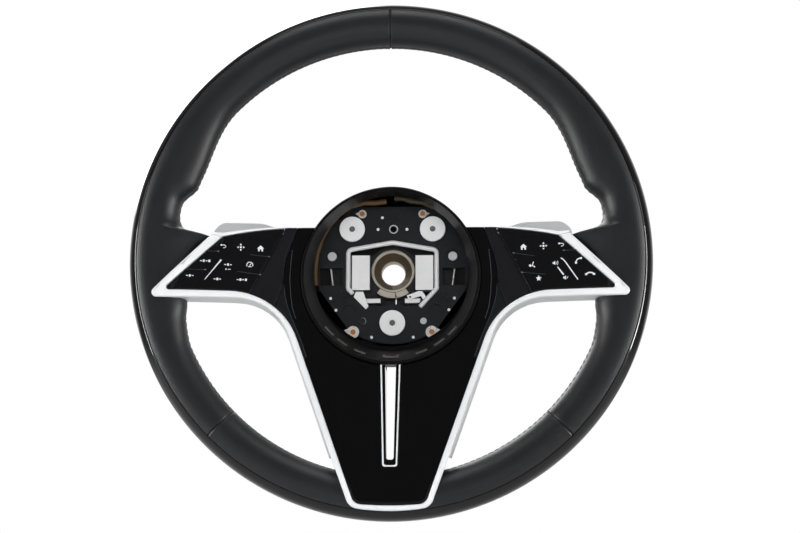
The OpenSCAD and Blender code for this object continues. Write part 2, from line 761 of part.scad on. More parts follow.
// Latch spring: one bent wire round the opening
wire_z = plate_z + wire_d / 2;
wire_path = rounded([[-29.4, -18.6, 0], [-32.4, -15.4, 2.2], [-32.4, 13.2, 3.4], [0, 18.8, 6], [32.4, 13.2, 3.4],
                     [32.4, -15.4, 2.2], [20.6, -28.4, 0]]);
module latch_spring() {
    color(silver_c) swept([for (p = wire_path) [p[0], p[1], wire_z]], wire_d / 2, 12);
}

module latch_tab() {
    color(silver_c) translate([0, 0, plate_z]) linear_extrude(1.4)
        polygon([[-26.7, -17.6], [-21.4, -17.6], [-17.4, -28.6], [-19.4, -30.6], [-28.4, -21.4]]);
}

module latch_lever() {
    color(silver_c) translate([0, 0, plate_z]) linear_extrude(1.2) difference() {
        polygon([[10.4, -20.4], [19.2, -17.2], [21.6, -17.2], [24.3, -21], [22.5, -23.6], [20.8, -20.8],
                 [11.8, -23.4]]);
        translate([12.9, -21.4]) circle(r = 0.8, $fn = 24);
    }
}

// Contacts in the plate's corners
upper_pin = plate_r * [0.3964, 0.7179];
lower_pin = plate_r * [0.5107, -0.8464];
module contact_collars() {
    color(silver_c) for (side = [0, 1]) mirror([side, 0, 0]) {
        translate([upper_pin[0], upper_pin[1], plate_z]) difference() {
            union() {
                cylinder(h = 2, r = 3.1);
                linear_extrude(1.2) polygon([[0, 3], [5, 0.4], [0, -3]]);
            }
            translate([0, 0, -1]) cylinder(h = 4, r = 1.9);
        }
        translate([lower_pin[0], lower_pin[1], plate_z]) difference() {
            union() {
                cylinder(h = 2.6, r = 4.4);
                linear_extrude(1.2) polygon([[0, 4.3], [6.6, 1.6], [2, -4]]);
            }
            translate([0, 0, -1]) cylinder(h = 5, r = 1.9);
        }
    }
}

module contact_pins() {
    color("#c07a3a") for (side = [0, 1]) mirror([side, 0, 0]) {
        translate([upper_pin[0], upper_pin[1], plate_z]) cylinder(h = 2.6, r = 1.8);
        translate([lower_pin[0], lower_pin[1], plate_z]) cylinder(h = 3.2, r = 1.8);
    }
}

module guide_plugs() {
    color("#b4b8b8") {
        for (side = [0, 1]) mirror([side, 0, 0]) translate([44.2, 8.6, plate_z - 1.2]) cylinder(h = 3, r = 3.3);
        translate([22.6, -39.2, plate_z]) cylinder(h = 1, r = 2.4);
    }
}

// Small rivet heads, in pairs and single
studs = plate_r * [[0.189, 0.516], [-0.189, 0.516], [-0.134, 0.671], [0.807, -0.4], [-0.807, -0.4],
                   [0.736, -0.555], [-0.736, -0.555], [0.271, -0.9125], [-0.271, -0.9125]];
module plate_studs() {
    color("white") for (p = studs) translate([p[0], p[1], plate_z]) {
        cylinder(h = 0.8, r = 1.1, $fn = 24);
    }
}

module plate_screws() {
    color("#5a5b5e") for (p = [[-21.8, -39.2]]) translate([p[0], p[1], plate_z]) difference() {
        cylinder(h = 1, r = 2.4);
        translate([-0.4, -1.8, 0.4]) cube([0.8, 3.6, 1]);
    }
}

// Slanting leaf springs behind the plate's two windows
module window_springs() {
    color(silver_c) for (side = [0, 1]) mirror([side, 0, 0])
        translate([44.6, -6.2, 24]) rotate(-8) translate([-0.5, -6.4, 0]) cube([1, 12.8, plate_z - plate_t - 25]);
}

// Wires that the well holds, laid by hand along its upper wall
wire_left = [[-55.5, -14, 46], [-56, -4, 49], [-54.5, 8, 50], [-51.2, 19.5, 49.5], [-45.8, 29.5, 49.5],
             [-38.5, 37.5, 50], [-30, 43.5, 50], [-20, 46, 50], [-12, 46, 49], [-4, 47, 50]];
wire_right = [[2, 49, 50], [8, 49, 51], [14, 47, 50], [22, 46, 51], [32, 42, 50], [41, 35, 51], [49, 26, 50],
              [54, 15, 51], [56, 6, 49]];
wire_bundle_r = 1.9;

function ring_at(p, d, r, m) = let (u = unit(cross(d, [0, 0, 1])), v = unit(cross(d, u)))
    [for (k = [0:m - 1]) p + r * (u * cos(360 * k / m) + v * sin(360 * k / m))];

module swept(route, r, m = 8) {
    n = len(route);
    tube_of([for (i = [0:n - 1]) ring_at(route[i], unit(route[min(i + 1, n - 1)] - route[max(i - 1, 0)]), r, m)]);
}

// Keeps a route at its place against the bowl's wall, whatever the bowl's size
wall_share = bowl_mouth_r / 59.4;
function at_wall(route) = [for (p = route) [p[0] * wall_share, p[1] * wall_share, p[2]]];

module wiring_left() { color("#8a6a2a") swept(at_wall(wire_left), wire_bundle_r); }
module wiring_right() { color("#6a6438") swept(at_wall(wire_right), wire_bundle_r); }

// Shift paddle, on a vertical pin behind the spoke
paddle_tilt = 20;
paddle_top = spoke_top + 11.6;
knuckle_r = 4;
blade_lift = 0.1;
module paddle() {
    low = paddle_top - paddle_w;
    blade = rounded([[8, low + 10, 0], [8, paddle_top - 3, 4], [20, paddle_top, 26], [paddle_l - 12, paddle_top - 1.4, 10],
                     [paddle_l - 5, paddle_top - 8, 8], [paddle_l - 12, low - 4, 10], [22, low - 6, 12],
                     [8, low + 2, 0]]);
    color("#b9bbbd") translate([pivot_x, 0, pivot_z]) difference() {
        union() {
            rotate([0, -paddle_tilt, 0]) {
                translate([0, 0, blade_lift]) linear_extrude(paddle_t) polygon(blade);
                translate([0, -13.4, blade_lift]) cube([14, 18.8, paddle_t]);
            }
            translate([0, -14, 0]) rotate([-90, 0, 0]) cylinder(h = 20, r = knuckle_r);
        }
        translate([0, -15, 0]) rotate([-90, 0, 0]) cylinder(h = 22, r = pin_r + pin_fit);
    }
}

// Fork that holds the paddle's pin against the rear cover
module paddle_bracket() {
    color("#26272a") difference() {
        intersection() {
            union() for (y = [-22, 7]) translate([pivot_x - 5, y, pivot_z - 5]) cube([10, 7, 30]);
            back_filler();
        }
        translate([pivot_x, -30, pivot_z]) rotate([-90, 0, 0]) cylinder(h = 60, r = pin_r);
    }
}

module back_filler() {
    rotate_extrude($fn = 128)
        polygon(concat([[bowl_r + 2, 10]], [for (r = back_radii) if (r > bowl_r) [r, back(r) - 0.05]], [[cover_end_r, 10]]));
}

module paddle_pin() {
    color(metal_c) translate([pivot_x, -22, pivot_z]) rotate([-90, 0, 0]) cylinder(h = 36, r = pin_r);
}

upright() armature();
upright() rim_core();
upright() spline_bush();
upright() rim_foam();
upright() rim_leather();
upright() rim_band();
upright() trim_bezel();
upright() on_left() trim_skirt();  // trim_skirt_left
upright() on_right() trim_skirt();  // trim_skirt_right
upright() front_fascia();
upright() slot_frame();
upright() slot_liner();
upright() on_left() pad_frame();  // pad_frame_left
upright() on_right() pad_frame();  // pad_frame_right
upright() on_left() touch_panel();  // touch_panel_left
upright() on_right() touch_panel();  // touch_panel_right
upright() on_left() switch_board();  // switch_board_left
upright() on_right() switch_board();  // switch_board_right
upright() rear_bowl();
upright() rear_cover();
upright() cover_screws();
upright() well_ring();
upright() well_springs();
upright() well_staple();
upright() carrier_plate();
upright() plate_screws();
upright() horn_cap(cap_angles[0]);  // horn_cap_left
upright() horn_cap(cap_angles[1]);  // horn_cap_right
upright() horn_cap(cap_angles[2]);  // horn_cap_lower
upright() latch_spring();
upright() latch_tab();
upright() latch_lever();
upright() contact_collars();
upright() contact_pins();
upright() guide_plugs();
upright() plate_studs();
upright() window_springs();
upright() wiring_left();
upright() wiring_right();
upright() on_left() paddle();  // paddle_left
upright() on_right() paddle();  // paddle_right
upright() on_left() paddle_bracket();  // paddle_bracket_left
upright() on_right() paddle_bracket();  // paddle_bracket_right
upright() on_left() paddle_pin();  // paddle_pin_left
upright() on_right() paddle_pin();  // paddle_pin_right
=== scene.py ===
"""Looks of the car steering wheel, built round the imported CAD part.

Pieces are worked out in the bench frame of the part's source, in millimetres (x right, y up the wheel,
z towards the driver), and row() turns them into the row frame in metres.
"""

import math

import bmesh
import bpy
import numpy as np
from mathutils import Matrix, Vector
from mathutils.geometry import delaunay_2d_cdt


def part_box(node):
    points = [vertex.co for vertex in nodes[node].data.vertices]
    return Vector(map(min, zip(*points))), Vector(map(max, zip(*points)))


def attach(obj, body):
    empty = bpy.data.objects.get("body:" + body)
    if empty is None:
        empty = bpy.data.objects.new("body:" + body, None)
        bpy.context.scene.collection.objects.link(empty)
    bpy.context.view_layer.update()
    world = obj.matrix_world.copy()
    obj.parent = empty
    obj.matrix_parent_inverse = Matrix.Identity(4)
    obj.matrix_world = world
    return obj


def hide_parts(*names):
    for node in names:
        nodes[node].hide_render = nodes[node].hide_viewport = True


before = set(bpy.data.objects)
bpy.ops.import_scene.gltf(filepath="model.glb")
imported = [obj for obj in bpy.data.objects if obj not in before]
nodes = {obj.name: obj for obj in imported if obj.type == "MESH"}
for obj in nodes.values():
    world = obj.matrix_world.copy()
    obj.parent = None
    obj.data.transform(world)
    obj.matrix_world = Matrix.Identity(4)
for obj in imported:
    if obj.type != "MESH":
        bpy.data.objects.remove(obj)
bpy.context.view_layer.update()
WHEEL = "wheel"

# Sizes of the part's source, in millimetres
RIM_R = 185.0
GRIP_W = 31.0
GRIP_T = 34.0
RIM_C = RIM_R - GRIP_W / 2
BAND_W = 6.6
BAND_T = 2.6
BAND_IN = RIM_R - BAND_W
DISH = 80.0
THUMB_H = 7.2
SPOKE_TOP = 21.4
SPOKE_LOW = 29.6
SHOULDER_X = 81.0
FOOT_W = 56.0
FOOT_Y = -(BAND_IN - 0.3)
TIP_X = RIM_R - 13.7
TRIM_W = 4.9
TRIM_T = 5.0
FASCIA_T = 3.0
PANEL_T = 2.4
PANEL_GAP = 0.4
WELL_R = 63.4
WELL_DROP = 13.0
PLATE_Z = 36.0
SLOT_END = 148.0
SLOT_W = 8.0
FRAME_W = 1.0
SKIN_HUB = 3.0
SKIN_RIM = GRIP_T / 2 + 0.4
SKIN_R0 = 72.0
SKIN_R1 = RIM_C - 3
SEAM_ANGLES = (90.0, 225.2, 314.8)
WEB_Z = 25.0


def row(p):
    """A bench point in the row frame."""
    return (p[0] / 1000, -p[2] / 1000, p[1] / 1000)


def ease(t):
    """A smooth rise from 0 at t = 0 to 1 at t = 1."""
    u = min(max(t, 0.0), 1.0)
    return u * u * (3 - 2 * u)


def skin(x, y):
    """Height of the spokes' front surface."""
    return DISH + SKIN_HUB + (SKIN_RIM - SKIN_HUB) * ease((math.hypot(x, y) - SKIN_R0) / (SKIN_R1 - SKIN_R0))


# ---- outlines ----


def unit(v):
    return v / np.linalg.norm(v)


def corner(a, b, c, r, n):
    """Points of the round of radius r that blunts the corner b between a and c."""
    a, b, c = (np.array(q, float) for q in (a, b, c))
    u, v = unit(a - b), unit(c - b)
    half = math.acos(max(-1, min(1, float(u @ v)))) / 2
    mid = b + unit(u + v) * r / math.sin(half)
    p, q = b + u * r / math.tan(half), b + v * r / math.tan(half)
    p0, q0 = unit(p - mid), unit(q - mid)
    turn = math.acos(max(-1, min(1, float(p0 @ q0))))
    return [mid + r * (p0 * math.sin(turn * (1 - i / n)) + q0 * math.sin(turn * i / n)) / math.sin(turn)
            for i in range(n + 1)]


def rounded(pts, n):
    """A path through (x, y, radius of the corner), n steps to a corner."""
    out = []
    for i, (x, y, r) in enumerate(pts):
        if r > 0:
            out += corner(pts[i - 1][:2], (x, y), pts[i + 1][:2], r, n)
        else:
            out.append(np.array((x, y), float))
    return np.array(out)


def mirrored(path):
    return np.array(path) * (-1, 1)


def resample(path, step, closed=False):
    """The path with points at most step apart."""
    pts = list(path) + ([path[0]] if closed else [])
    out = []
    for a, b in zip(pts[:-1], pts[1:]):
        a, b = np.array(a, float), np.array(b, float)
        n = max(1, math.ceil(np.linalg.norm(b - a) / step))
        out += [a + (b - a) * i / n for i in range(n)]
    if not closed:
        out.append(np.array(pts[-1], float))
    return np.array(out)


def tidy(loop, least=0.05):
    """The loop without points that nearly coincide."""
    out = [loop[0]]
    for p in loop[1:]:
        if np.linalg.norm(p - out[-1]) > least:
            out.append(p)
    if np.linalg.norm(out[0] - out[-1]) <= least:
        out.pop()
    return np.array(out)


def inset(loop, d):
    """A closed loop moved to its left by d, with mitred corners."""
    p = np.array(loop, float)
    e1 = p - np.roll(p, 1, 0)
    e2 = np.roll(p, -1, 0) - p
    e1 /= np.linalg.norm(e1, axis=1)[:, None]
    e2 /= np.linalg.norm(e2, axis=1)[:, None]
    n1 = np.stack([-e1[:, 1], e1[:, 0]], 1)
    n2 = np.stack([-e2[:, 1], e2[:, 0]], 1)
    b = n1 + n2
    b /= np.linalg.norm(b, axis=1)[:, None]
    c = np.clip((b * n1).sum(1), 0.35, 1)
    return p + b * (d / c)[:, None]


def area(loop):
    x, y = np.array(loop).T
    return 0.5 * float((x * np.roll(y, -1) - np.roll(x, -1) * y).sum())


def ccw(loop):
    return np.array(loop) if area(loop) > 0 else np.array(loop)[::-1]


def inside(pts, loop):
    """Which points lie inside a closed loop."""
    pts, loop = np.atleast_2d(pts), np.array(loop)
    x, y = pts[:, 0][:, None], pts[:, 1][:, None]
    a, b = loop, np.roll(loop, -1, 0)
    cond = (a[:, 1] > y) != (b[:, 1] > y)
    with np.errstate(divide="ignore", invalid="ignore"):
        xi = (b[:, 0] - a[:, 0]) * (y - a[:, 1]) / (b[:, 1] - a[:, 1]) + a[:, 0]
    return ((cond & (x < xi)).sum(1) % 2) == 1


def split(path, test):
    """The path's first part for which test(point) is true, ended at the crossing."""
    out = []
    for i, p in enumerate(path):
        if test(p):
            out.append(p)
            continue
        if out:
            a, b = path[i - 1], p
            for _ in range(40):
                m = (a + b) / 2
                if test(m):
                    a = m
                else:
                    b = m
            out.append(a)
            break
    return np.array(out)


def after(path, point):
    """The part of a path after its place nearest to a point."""
    best, at = 1e9, 0
    for i, (a, b) in enumerate(zip(path[:-1], path[1:])):
        t = min(max(float((point - a) @ (b - a)) / max(float((b - a) @ (b - a)), 1e-9), 0), 1)
        d = np.linalg.norm(a + (b - a) * t - point)
        if d < best:
            best, at = d, i
    return np.array(path[at + 1:])


def edge_y(x):
    return SPOKE_TOP - max(x - 60, 0) ** 2 / 460


trim_start_x = TIP_X - SPOKE_LOW - 15.7
trim_outer = rounded([(trim_start_x, 15.3, 0), (TIP_X, -SPOKE_LOW - 0.4, 3.4),
                      (SHOULDER_X, -SPOKE_LOW + 0.2, 40), (FOOT_W / 2, FOOT_Y + 2.7, 9),
                      (19.6, FOOT_Y + 1.2, 0), (12, FOOT_Y + 0.45, 0), (5, FOOT_Y + 0.08, 0),
                      (0, FOOT_Y, 0)], 14)
trim_inner = rounded([(trim_start_x - 8, 14.2, 0), (TIP_X - 12.4, -SPOKE_LOW + TRIM_W, 1.8),
                      (SHOULDER_X - 3.4, -SPOKE_LOW + TRIM_W, 50), (FOOT_W / 2 - 3.4, FOOT_Y + 5, 7),
                      (17, FOOT_Y + 4.3, 0), (9, FOOT_Y + 3.86, 0), (0, FOOT_Y + 3.7, 0)], 14)
top_edge = np.array([(x, 14.2 if x > trim_start_x - 9 else edge_y(x))
                     for x in np.arange(trim_start_x - 8, 0, -3.0)] + [(0.0, edge_y(0))])
step_line = rounded([(66, 40, 0), (66, SPOKE_TOP - 1, 20), (75.4, -5, 60), (75.4, -20, 30), (92, -60, 0)], 14)
panel_line = rounded([(72, 40, 0), (75.4, 18, 12), (100.6, -30, 0), (104, -44, 0)], 14)
front_field = np.concatenate([trim_inner, mirrored(trim_inner)[::-1], mirrored(top_edge), top_edge[::-1]])
front_field = tidy(front_field)


def below_top(p):
    return p[1] < edge_y(p[0])


def run_down(line):
    """The part of a line that lies in the front field, from the top edge to the trim."""
    fine = resample(line, 1.0)
    start = next(i for i, p in enumerate(fine) if below_top(p))
    first = split(fine[:start + 1][::-1], below_top)
    body = split(fine[start:], lambda p: bool(inside(p, front_field)[0]))
    return np.concatenate([first[-1:], body])


step_run = run_down(step_line)
panel_run = run_down(panel_line)


def top_between(x0, x1):
    """Points of the top edge from x0 to x1."""
    n = max(2, int(abs(x1 - x0) / 2.5))
    return np.array([(x, edge_y(x)) for x in np.linspace(x0, x1, n + 1)])


def circle_pts(r, a0, a1, n, cx=0.0, cy=0.0):
    """Points of a circle's arc, from a0 to a1 degrees in n steps."""
    return np.array([(cx + r * math.cos(math.radians(a)), cy + r * math.sin(math.radians(a)))
                     for a in np.linspace(a0, a1, n + 1)])


def slot_side(top, end, far):
    """Right-hand side of the slot, from inside the hub's opening to the middle of its far end."""
    return rounded([(top, -WELL_DROP - WELL_R + 8, 0), (end, -far, SLOT_CORNER), (0, -far, 0)], 8)


# Half the slot's width at the hub and at its far end, and the round of its far corners
SLOT_TOP = SLOT_W / 2 + 2.2
SLOT_FRONT_END = 4.1
SLOT_CORNER = 1.6
OPENING_R = WELL_R + 0.2  # of the fascia, round the well


def clear_of_opening(path):
    """The points of a path that lie outside the hub's opening."""
    return np.array([p for p in path if math.hypot(p[0], p[1] + WELL_DROP) > OPENING_R])


def fascia_loop():
    r = OPENING_R
    half = math.sqrt(r * r - (SPOKE_TOP + WELL_DROP) ** 2)
    a_top = math.degrees(math.atan2(SPOKE_TOP + WELL_DROP, half))
    side = slot_side(SLOT_TOP + FRAME_W, SLOT_FRONT_END + FRAME_W, SLOT_END)
    side = clear_of_opening(resample(side, 0.5))
    a_slot = math.degrees(math.atan2(side[0][1] + WELL_DROP, side[0][0]))
    arc = circle_pts(r, a_top, a_slot, 60, cy=-WELL_DROP)
    right = np.concatenate([top_between(half, step_run[0][0]), step_run, after(trim_inner, step_run[-1])])
    inner = np.concatenate([arc, side])
    loop = np.concatenate([right, mirrored(right)[::-1], mirrored(inner), inner[::-1]])
    return ccw(tidy(resample(tidy(loop), 2.2, True)))


def pad_frame_loop():
    a, b = step_run + (0.2, 0), panel_run
    low = after(trim_inner, b[-1])
    low = np.array([p for p in low if p[0] > a[-1][0] + 0.3])
    loop = np.concatenate([top_between(a[0][0], b[0][0]), b, low, a[::-1]])
    return ccw(tidy(resample(tidy(loop), 1.5, True)))


def panel_loop():
    low = np.array([p for p in trim_inner if p[0] > panel_run[-1][0] and p[1] > -60])
    loop = np.concatenate([top_between(panel_run[0][0], trim_start_x - 8.5), low, panel_run[::-1]])
    return inset(ccw(tidy(resample(tidy(loop, 0.3), 1.5, True), 0.3)), PANEL_GAP)


def trim_loop():
    loop = np.concatenate([trim_outer, mirrored(trim_outer)[::-1], mirrored(trim_inner), trim_inner[::-1]])
    return ccw(tidy(resample(tidy(loop), 1.6, True)))


def slot_frame_loop():
    a = resample(slot_side(SLOT_TOP + FRAME_W, SLOT_FRONT_END + FRAME_W, SLOT_END), 0.8)
    b = resample(slot_side(SLOT_TOP, SLOT_FRONT_END, SLOT_END - FRAME_W), 0.8)
    a, b = clear_of_opening(a), clear_of_opening(b)
    loop = np.concatenate([a, mirrored(a)[::-1], mirrored(b), b[::-1]])
    return ccw(tidy(loop))


def lip_loop():
    """The thin silver edge over a pad, which runs out of the trim."""
    xs = np.linspace(70, 118, 33)
    low = [(x, edge_y(x) + 0.05) for x in xs]
    high = [(x, edge_y(x) + 0.5 + 2.0 * (x - 70) / 48) for x in xs]
    return ccw(tidy(np.array(low + [(125.4, 15.45), (126.2, 17.0)] + high[::-1])))


# Crease between the spoke and the fascia's lower part, and the lit edge beside the step, both painted as
# highlight strips
fold_line = np.array([(75.0, -20.0), (74.4, -27), (72.6, -34.5), (70, -42), (66.3, -50.5), (62, -61),
                      (58.6, -71)])
sheen_line = np.array([(69.4, 5.0), (70.5, -5), (71, -15), (70.4, -26), (69, -36), (66.4, -44)])


def shifted(path, d):
    """A path moved to its left by d."""
    e = np.gradient(path, axis=0)
    e /= np.linalg.norm(e, axis=1)[:, None]
    return path + np.stack([-e[:, 1], e[:, 0]], 1) * d


def ribbon(path, w, w2=None):
    """A closed outline along a path, w wide at its start and w2 at its end."""
    path = np.array(path, float)
    half = np.linspace(w, w if w2 is None else w2, len(path))[:, None] / 2
    side = shifted(path, 1.0) - path
    return np.concatenate([path + side * half, (path - side * half)[::-1]])


def gap_to(path, q):
    """Distance from a point to a path."""
    a, b = path[:-1], path[1:]
    t = np.clip(((q - a) * (b - a)).sum(1) / ((b - a) ** 2).sum(1), 0, 1)
    return float(np.linalg.norm(a + (b - a) * t[:, None] - q, axis=1).min())


# ---- meshes ----


def link(name, me, mats, body=WHEEL, smooth=35):
    """A piece from a mesh, riding a body, with edges sharp where faces meet at more than smooth degrees."""
    for m in mats:
        me.materials.append(m)
    ob = bpy.data.objects.new(name, me)
    bpy.context.scene.collection.objects.link(ob)
    me.shade_smooth()
    me.set_sharp_from_angle(angle=math.radians(smooth))
    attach(ob, body)
    return ob


def mesh(name, verts, faces, mats, body=WHEEL, slot=None, smooth=35, face_mats=None):
    """A piece from points in the bench frame."""
    me = bpy.data.meshes.new(name)
    me.from_pydata([row(v) for v in verts], [], faces)
    bm = bmesh.new()
    bm.from_mesh(me)
    bmesh.ops.recalc_face_normals(bm, faces=bm.faces)
    bm.to_mesh(me)
    bm.free()
    if face_mats is not None:
        me.polygons.foreach_set("material_index", face_mats)
    me.update()
    return link(name, me, mats, body, smooth)


def sheet_faces(rows_n, cols_n, closed_rows=False, closed_cols=False, base=0):
    """Faces of a sheet of points that are numbered row by row from base."""
    out = []
    for i in range(rows_n if closed_rows else rows_n - 1):
        here, there = base + i * cols_n, base + (i + 1) % rows_n * cols_n
        for k in range(cols_n if closed_cols else cols_n - 1):
            k2 = (k + 1) % cols_n
            out.append((here + k, here + k2, there + k2, there + k))
    return out


def edge_round(width, steps):
    """Inset and drop along a quarter round."""
    return [(width * (1 - math.cos(t)), width * (1 - math.sin(t)))
            for t in [math.pi / 2 * i / steps for i in range(steps + 1)]]


def plate(name, loop, top, thick, profile, mats, step=4.0, lines=(), pick=None, **kw):
    """A solid plate under a curved front surface, its front edge shaped by pairs of inset and drop.

    lines are paths that its front is divided along, and pick gives a face's material from its middle."""
    loop = np.array(loop)
    n = len(loop)
    levels = [inset(loop, d) if d else loop for d, _ in profile]
    verts = [(x, y, top(x, y) - thick) for x, y in loop]
    for lev, (_, drop) in zip(levels, profile):
        verts += [(x, y, top(x, y) - drop) for x, y in lev]
    faces = []
    for lv in range(len(levels)):
        faces += sheet_faces(2, n, closed_cols=True, base=lv * n)
    side_n = len(faces)
    inner = levels[-1]
    edges = [(i, (i + 1) % n) for i in range(n)]
    fixed = []
    for line in lines:
        start = n + len(fixed)
        fixed += [tuple(q) for q in line]
        edges += [(start + i, start + i + 1) for i in range(len(line) - 1)]
    held = np.array([tuple(q) for q in inner] + fixed)
    lo, hi = inner.min(0), inner.max(0)
    gx, gy = np.meshgrid(np.arange(lo[0], hi[0], step), np.arange(lo[1], hi[1], step * 0.866))
    gx = gx + (np.arange(gx.shape[0]) % 2)[:, None] * step / 2
    pts = np.stack([gx.ravel(), gy.ravel()], 1)
    pts = pts[inside(pts, inner)]
    if len(pts):
        d = np.sqrt(((pts[:, None, :] - held[None, :, :]) ** 2).sum(2)).min(1)
        pts = pts[d > step * 0.4]
    coords = [Vector(q) for q in held] + [Vector(q) for q in pts]
    cv, _, cf, origin, _, _ = delaunay_2d_cdt(coords, edges, [], 0, 1e-5)
    first = len(verts)
    place = {}
    for i, src in enumerate(origin):
        ring = [q for q in src if q < n]
        if ring:
            place[i] = len(levels) * n + ring[0]
        else:
            place[i] = len(verts)
            x, y = cv[i]
            verts.append((x, y, top(x, y) - profile[-1][1]))
    mids = np.array([sum((np.array(cv[k]) for k in f), np.zeros(2)) / len(f) for f in cf])
    keep = inside(mids, inner)
    tris = [tuple(place[k] for k in f) for f, ok in zip(cf, keep) if ok]
    faces += tris
    back_of = {i: i - len(levels) * n for i in range(len(levels) * n, (len(levels) + 1) * n)}
    for i in range(first, len(verts)):
        back_of[i] = len(verts) + i - first
    verts += [(x, y, top(x, y) - thick) for x, y, _ in verts[first:]]
    faces += [tuple(back_of[k] for k in reversed(t)) for t in tris]
    marks = None
    if pick:
        tri_marks = [pick(*m) for m, ok in zip(mids, keep) if ok]
        side_marks = [pick(*np.mean([verts[k][:2] for k in f], 0)) for f in faces[:side_n]]
        marks = side_marks + tri_marks + [0] * len(tris)
    return mesh(name, verts, faces, mats, face_mats=marks, **kw)


def revolve(name, profile, mats, n, centre=(0, 0), **kw):
    """A solid of revolution about a line along the bench frame's z."""
    verts, m = [], len(profile)
    for i in range(n):
        a = 2 * math.pi * i / n
        verts += [(centre[0] + r * math.cos(a), centre[1] + r * math.sin(a), z) for r, z in profile]
    return mesh(name, verts, sheet_faces(n, m, True, True), mats, **kw)


def tube(name, path, r, mats, m, **kw):
    """A round bar along points in the bench frame, with m sides and domed ends."""
    p = [np.array(q, float) for q in path]
    n = len(p)
    rings = []
    ref = np.array((0, 0, 1.0))

    def frame_at(i):
        d = unit(p[min(i + 1, n - 1)] - p[max(i - 1, 0)])
        u = np.cross(d, ref)
        u = unit(u) if np.linalg.norm(u) > 1e-6 else np.array((1.0, 0, 0))
        return d, u, np.cross(u, d)

    def ring(c, u, v, rad):
        turns = [2 * math.pi * k / m for k in range(m)]
        return [c + rad * (u * math.cos(t) + v * math.sin(t)) for t in turns]

    d, u, v = frame_at(0)
    caps = [(0.0, 0.35), (0.3, 0.75), (0.65, 0.95)]
    for t, s in caps:
        rings.append(ring(p[0] - d * r * (1 - t) * 0.6, u, v, r * s))
    for i in range(n):
        d, u, v = frame_at(i)
        rings.append(ring(p[i], u, v, r))
    for t, s in reversed(caps):
        rings.append(ring(p[-1] + d * r * (1 - t) * 0.6, u, v, r * s))
    verts = [tuple(q) for rg in rings for q in rg]
    faces = sheet_faces(len(rings), m, closed_cols=True)
    faces += [tuple(range(m)), tuple(range(len(verts) - 1, len(verts) - m - 1, -1))]
    return mesh(name, verts, faces, mats, **kw)


def join(name, parts, mats, body=WHEEL, slot=None, smooth=35):
    """One piece from many small meshes: each part is (verts, faces)."""
    verts, faces = [], []
    for v, f in parts:
        base = len(verts)
        verts += v
        faces += [tuple(base + k for k in q) for q in f]
    return mesh(name, verts, faces, mats, body, slot, smooth)


def softened(node, mats, width, segments, body=WHEEL, angle=32, pick=None):
    """A copy of a CAD node with its sharp edges rounded, which stands for the node.

    pick gives a face's material from its middle and normal in the bench frame."""
    me = nodes[node].data.copy()
    me.materials.clear()
    bm = bmesh.new()
    bm.from_mesh(me)
    bmesh.ops.remove_doubles(bm, verts=bm.verts, dist=2e-6)
    bmesh.ops.dissolve_limit(bm, angle_limit=math.radians(0.25), verts=bm.verts, edges=bm.edges,
                             delimit={"NORMAL"})
    bmesh.ops.recalc_face_normals(bm, faces=bm.faces)
    bm.to_mesh(me)
    bm.free()
    if pick:
        base = nodes[node].matrix_world
        marks = []
        for f in me.polygons:
            c, d = base @ f.center * 1000, base.to_3x3() @ f.normal
            marks.append(pick((c.x, c.z, -c.y), (d.x, d.z, -d.y)))
        me.polygons.foreach_set("material_index", marks)
    ob = link(node + "_form", me, mats, body, angle)
    mod = ob.modifiers.new("edges", "BEVEL")
    mod.width = width / 1000
    mod.segments = segments
    mod.limit_method = "ANGLE"
    mod.angle_limit = math.radians(angle)
    mod.harden_normals = True
    mod.miter_outer = "MITER_ARC"
    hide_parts(node)
    return ob


# ---- materials ----


def srgb(*levels):
    """A linear colour from display levels of 0 to 255."""
    shares = [v / 255 for v in levels]
    return tuple(s / 12.92 if s <= 0.04045 else ((s + 0.055) / 1.055) ** 2.4 for s in shares) + (1.0,)


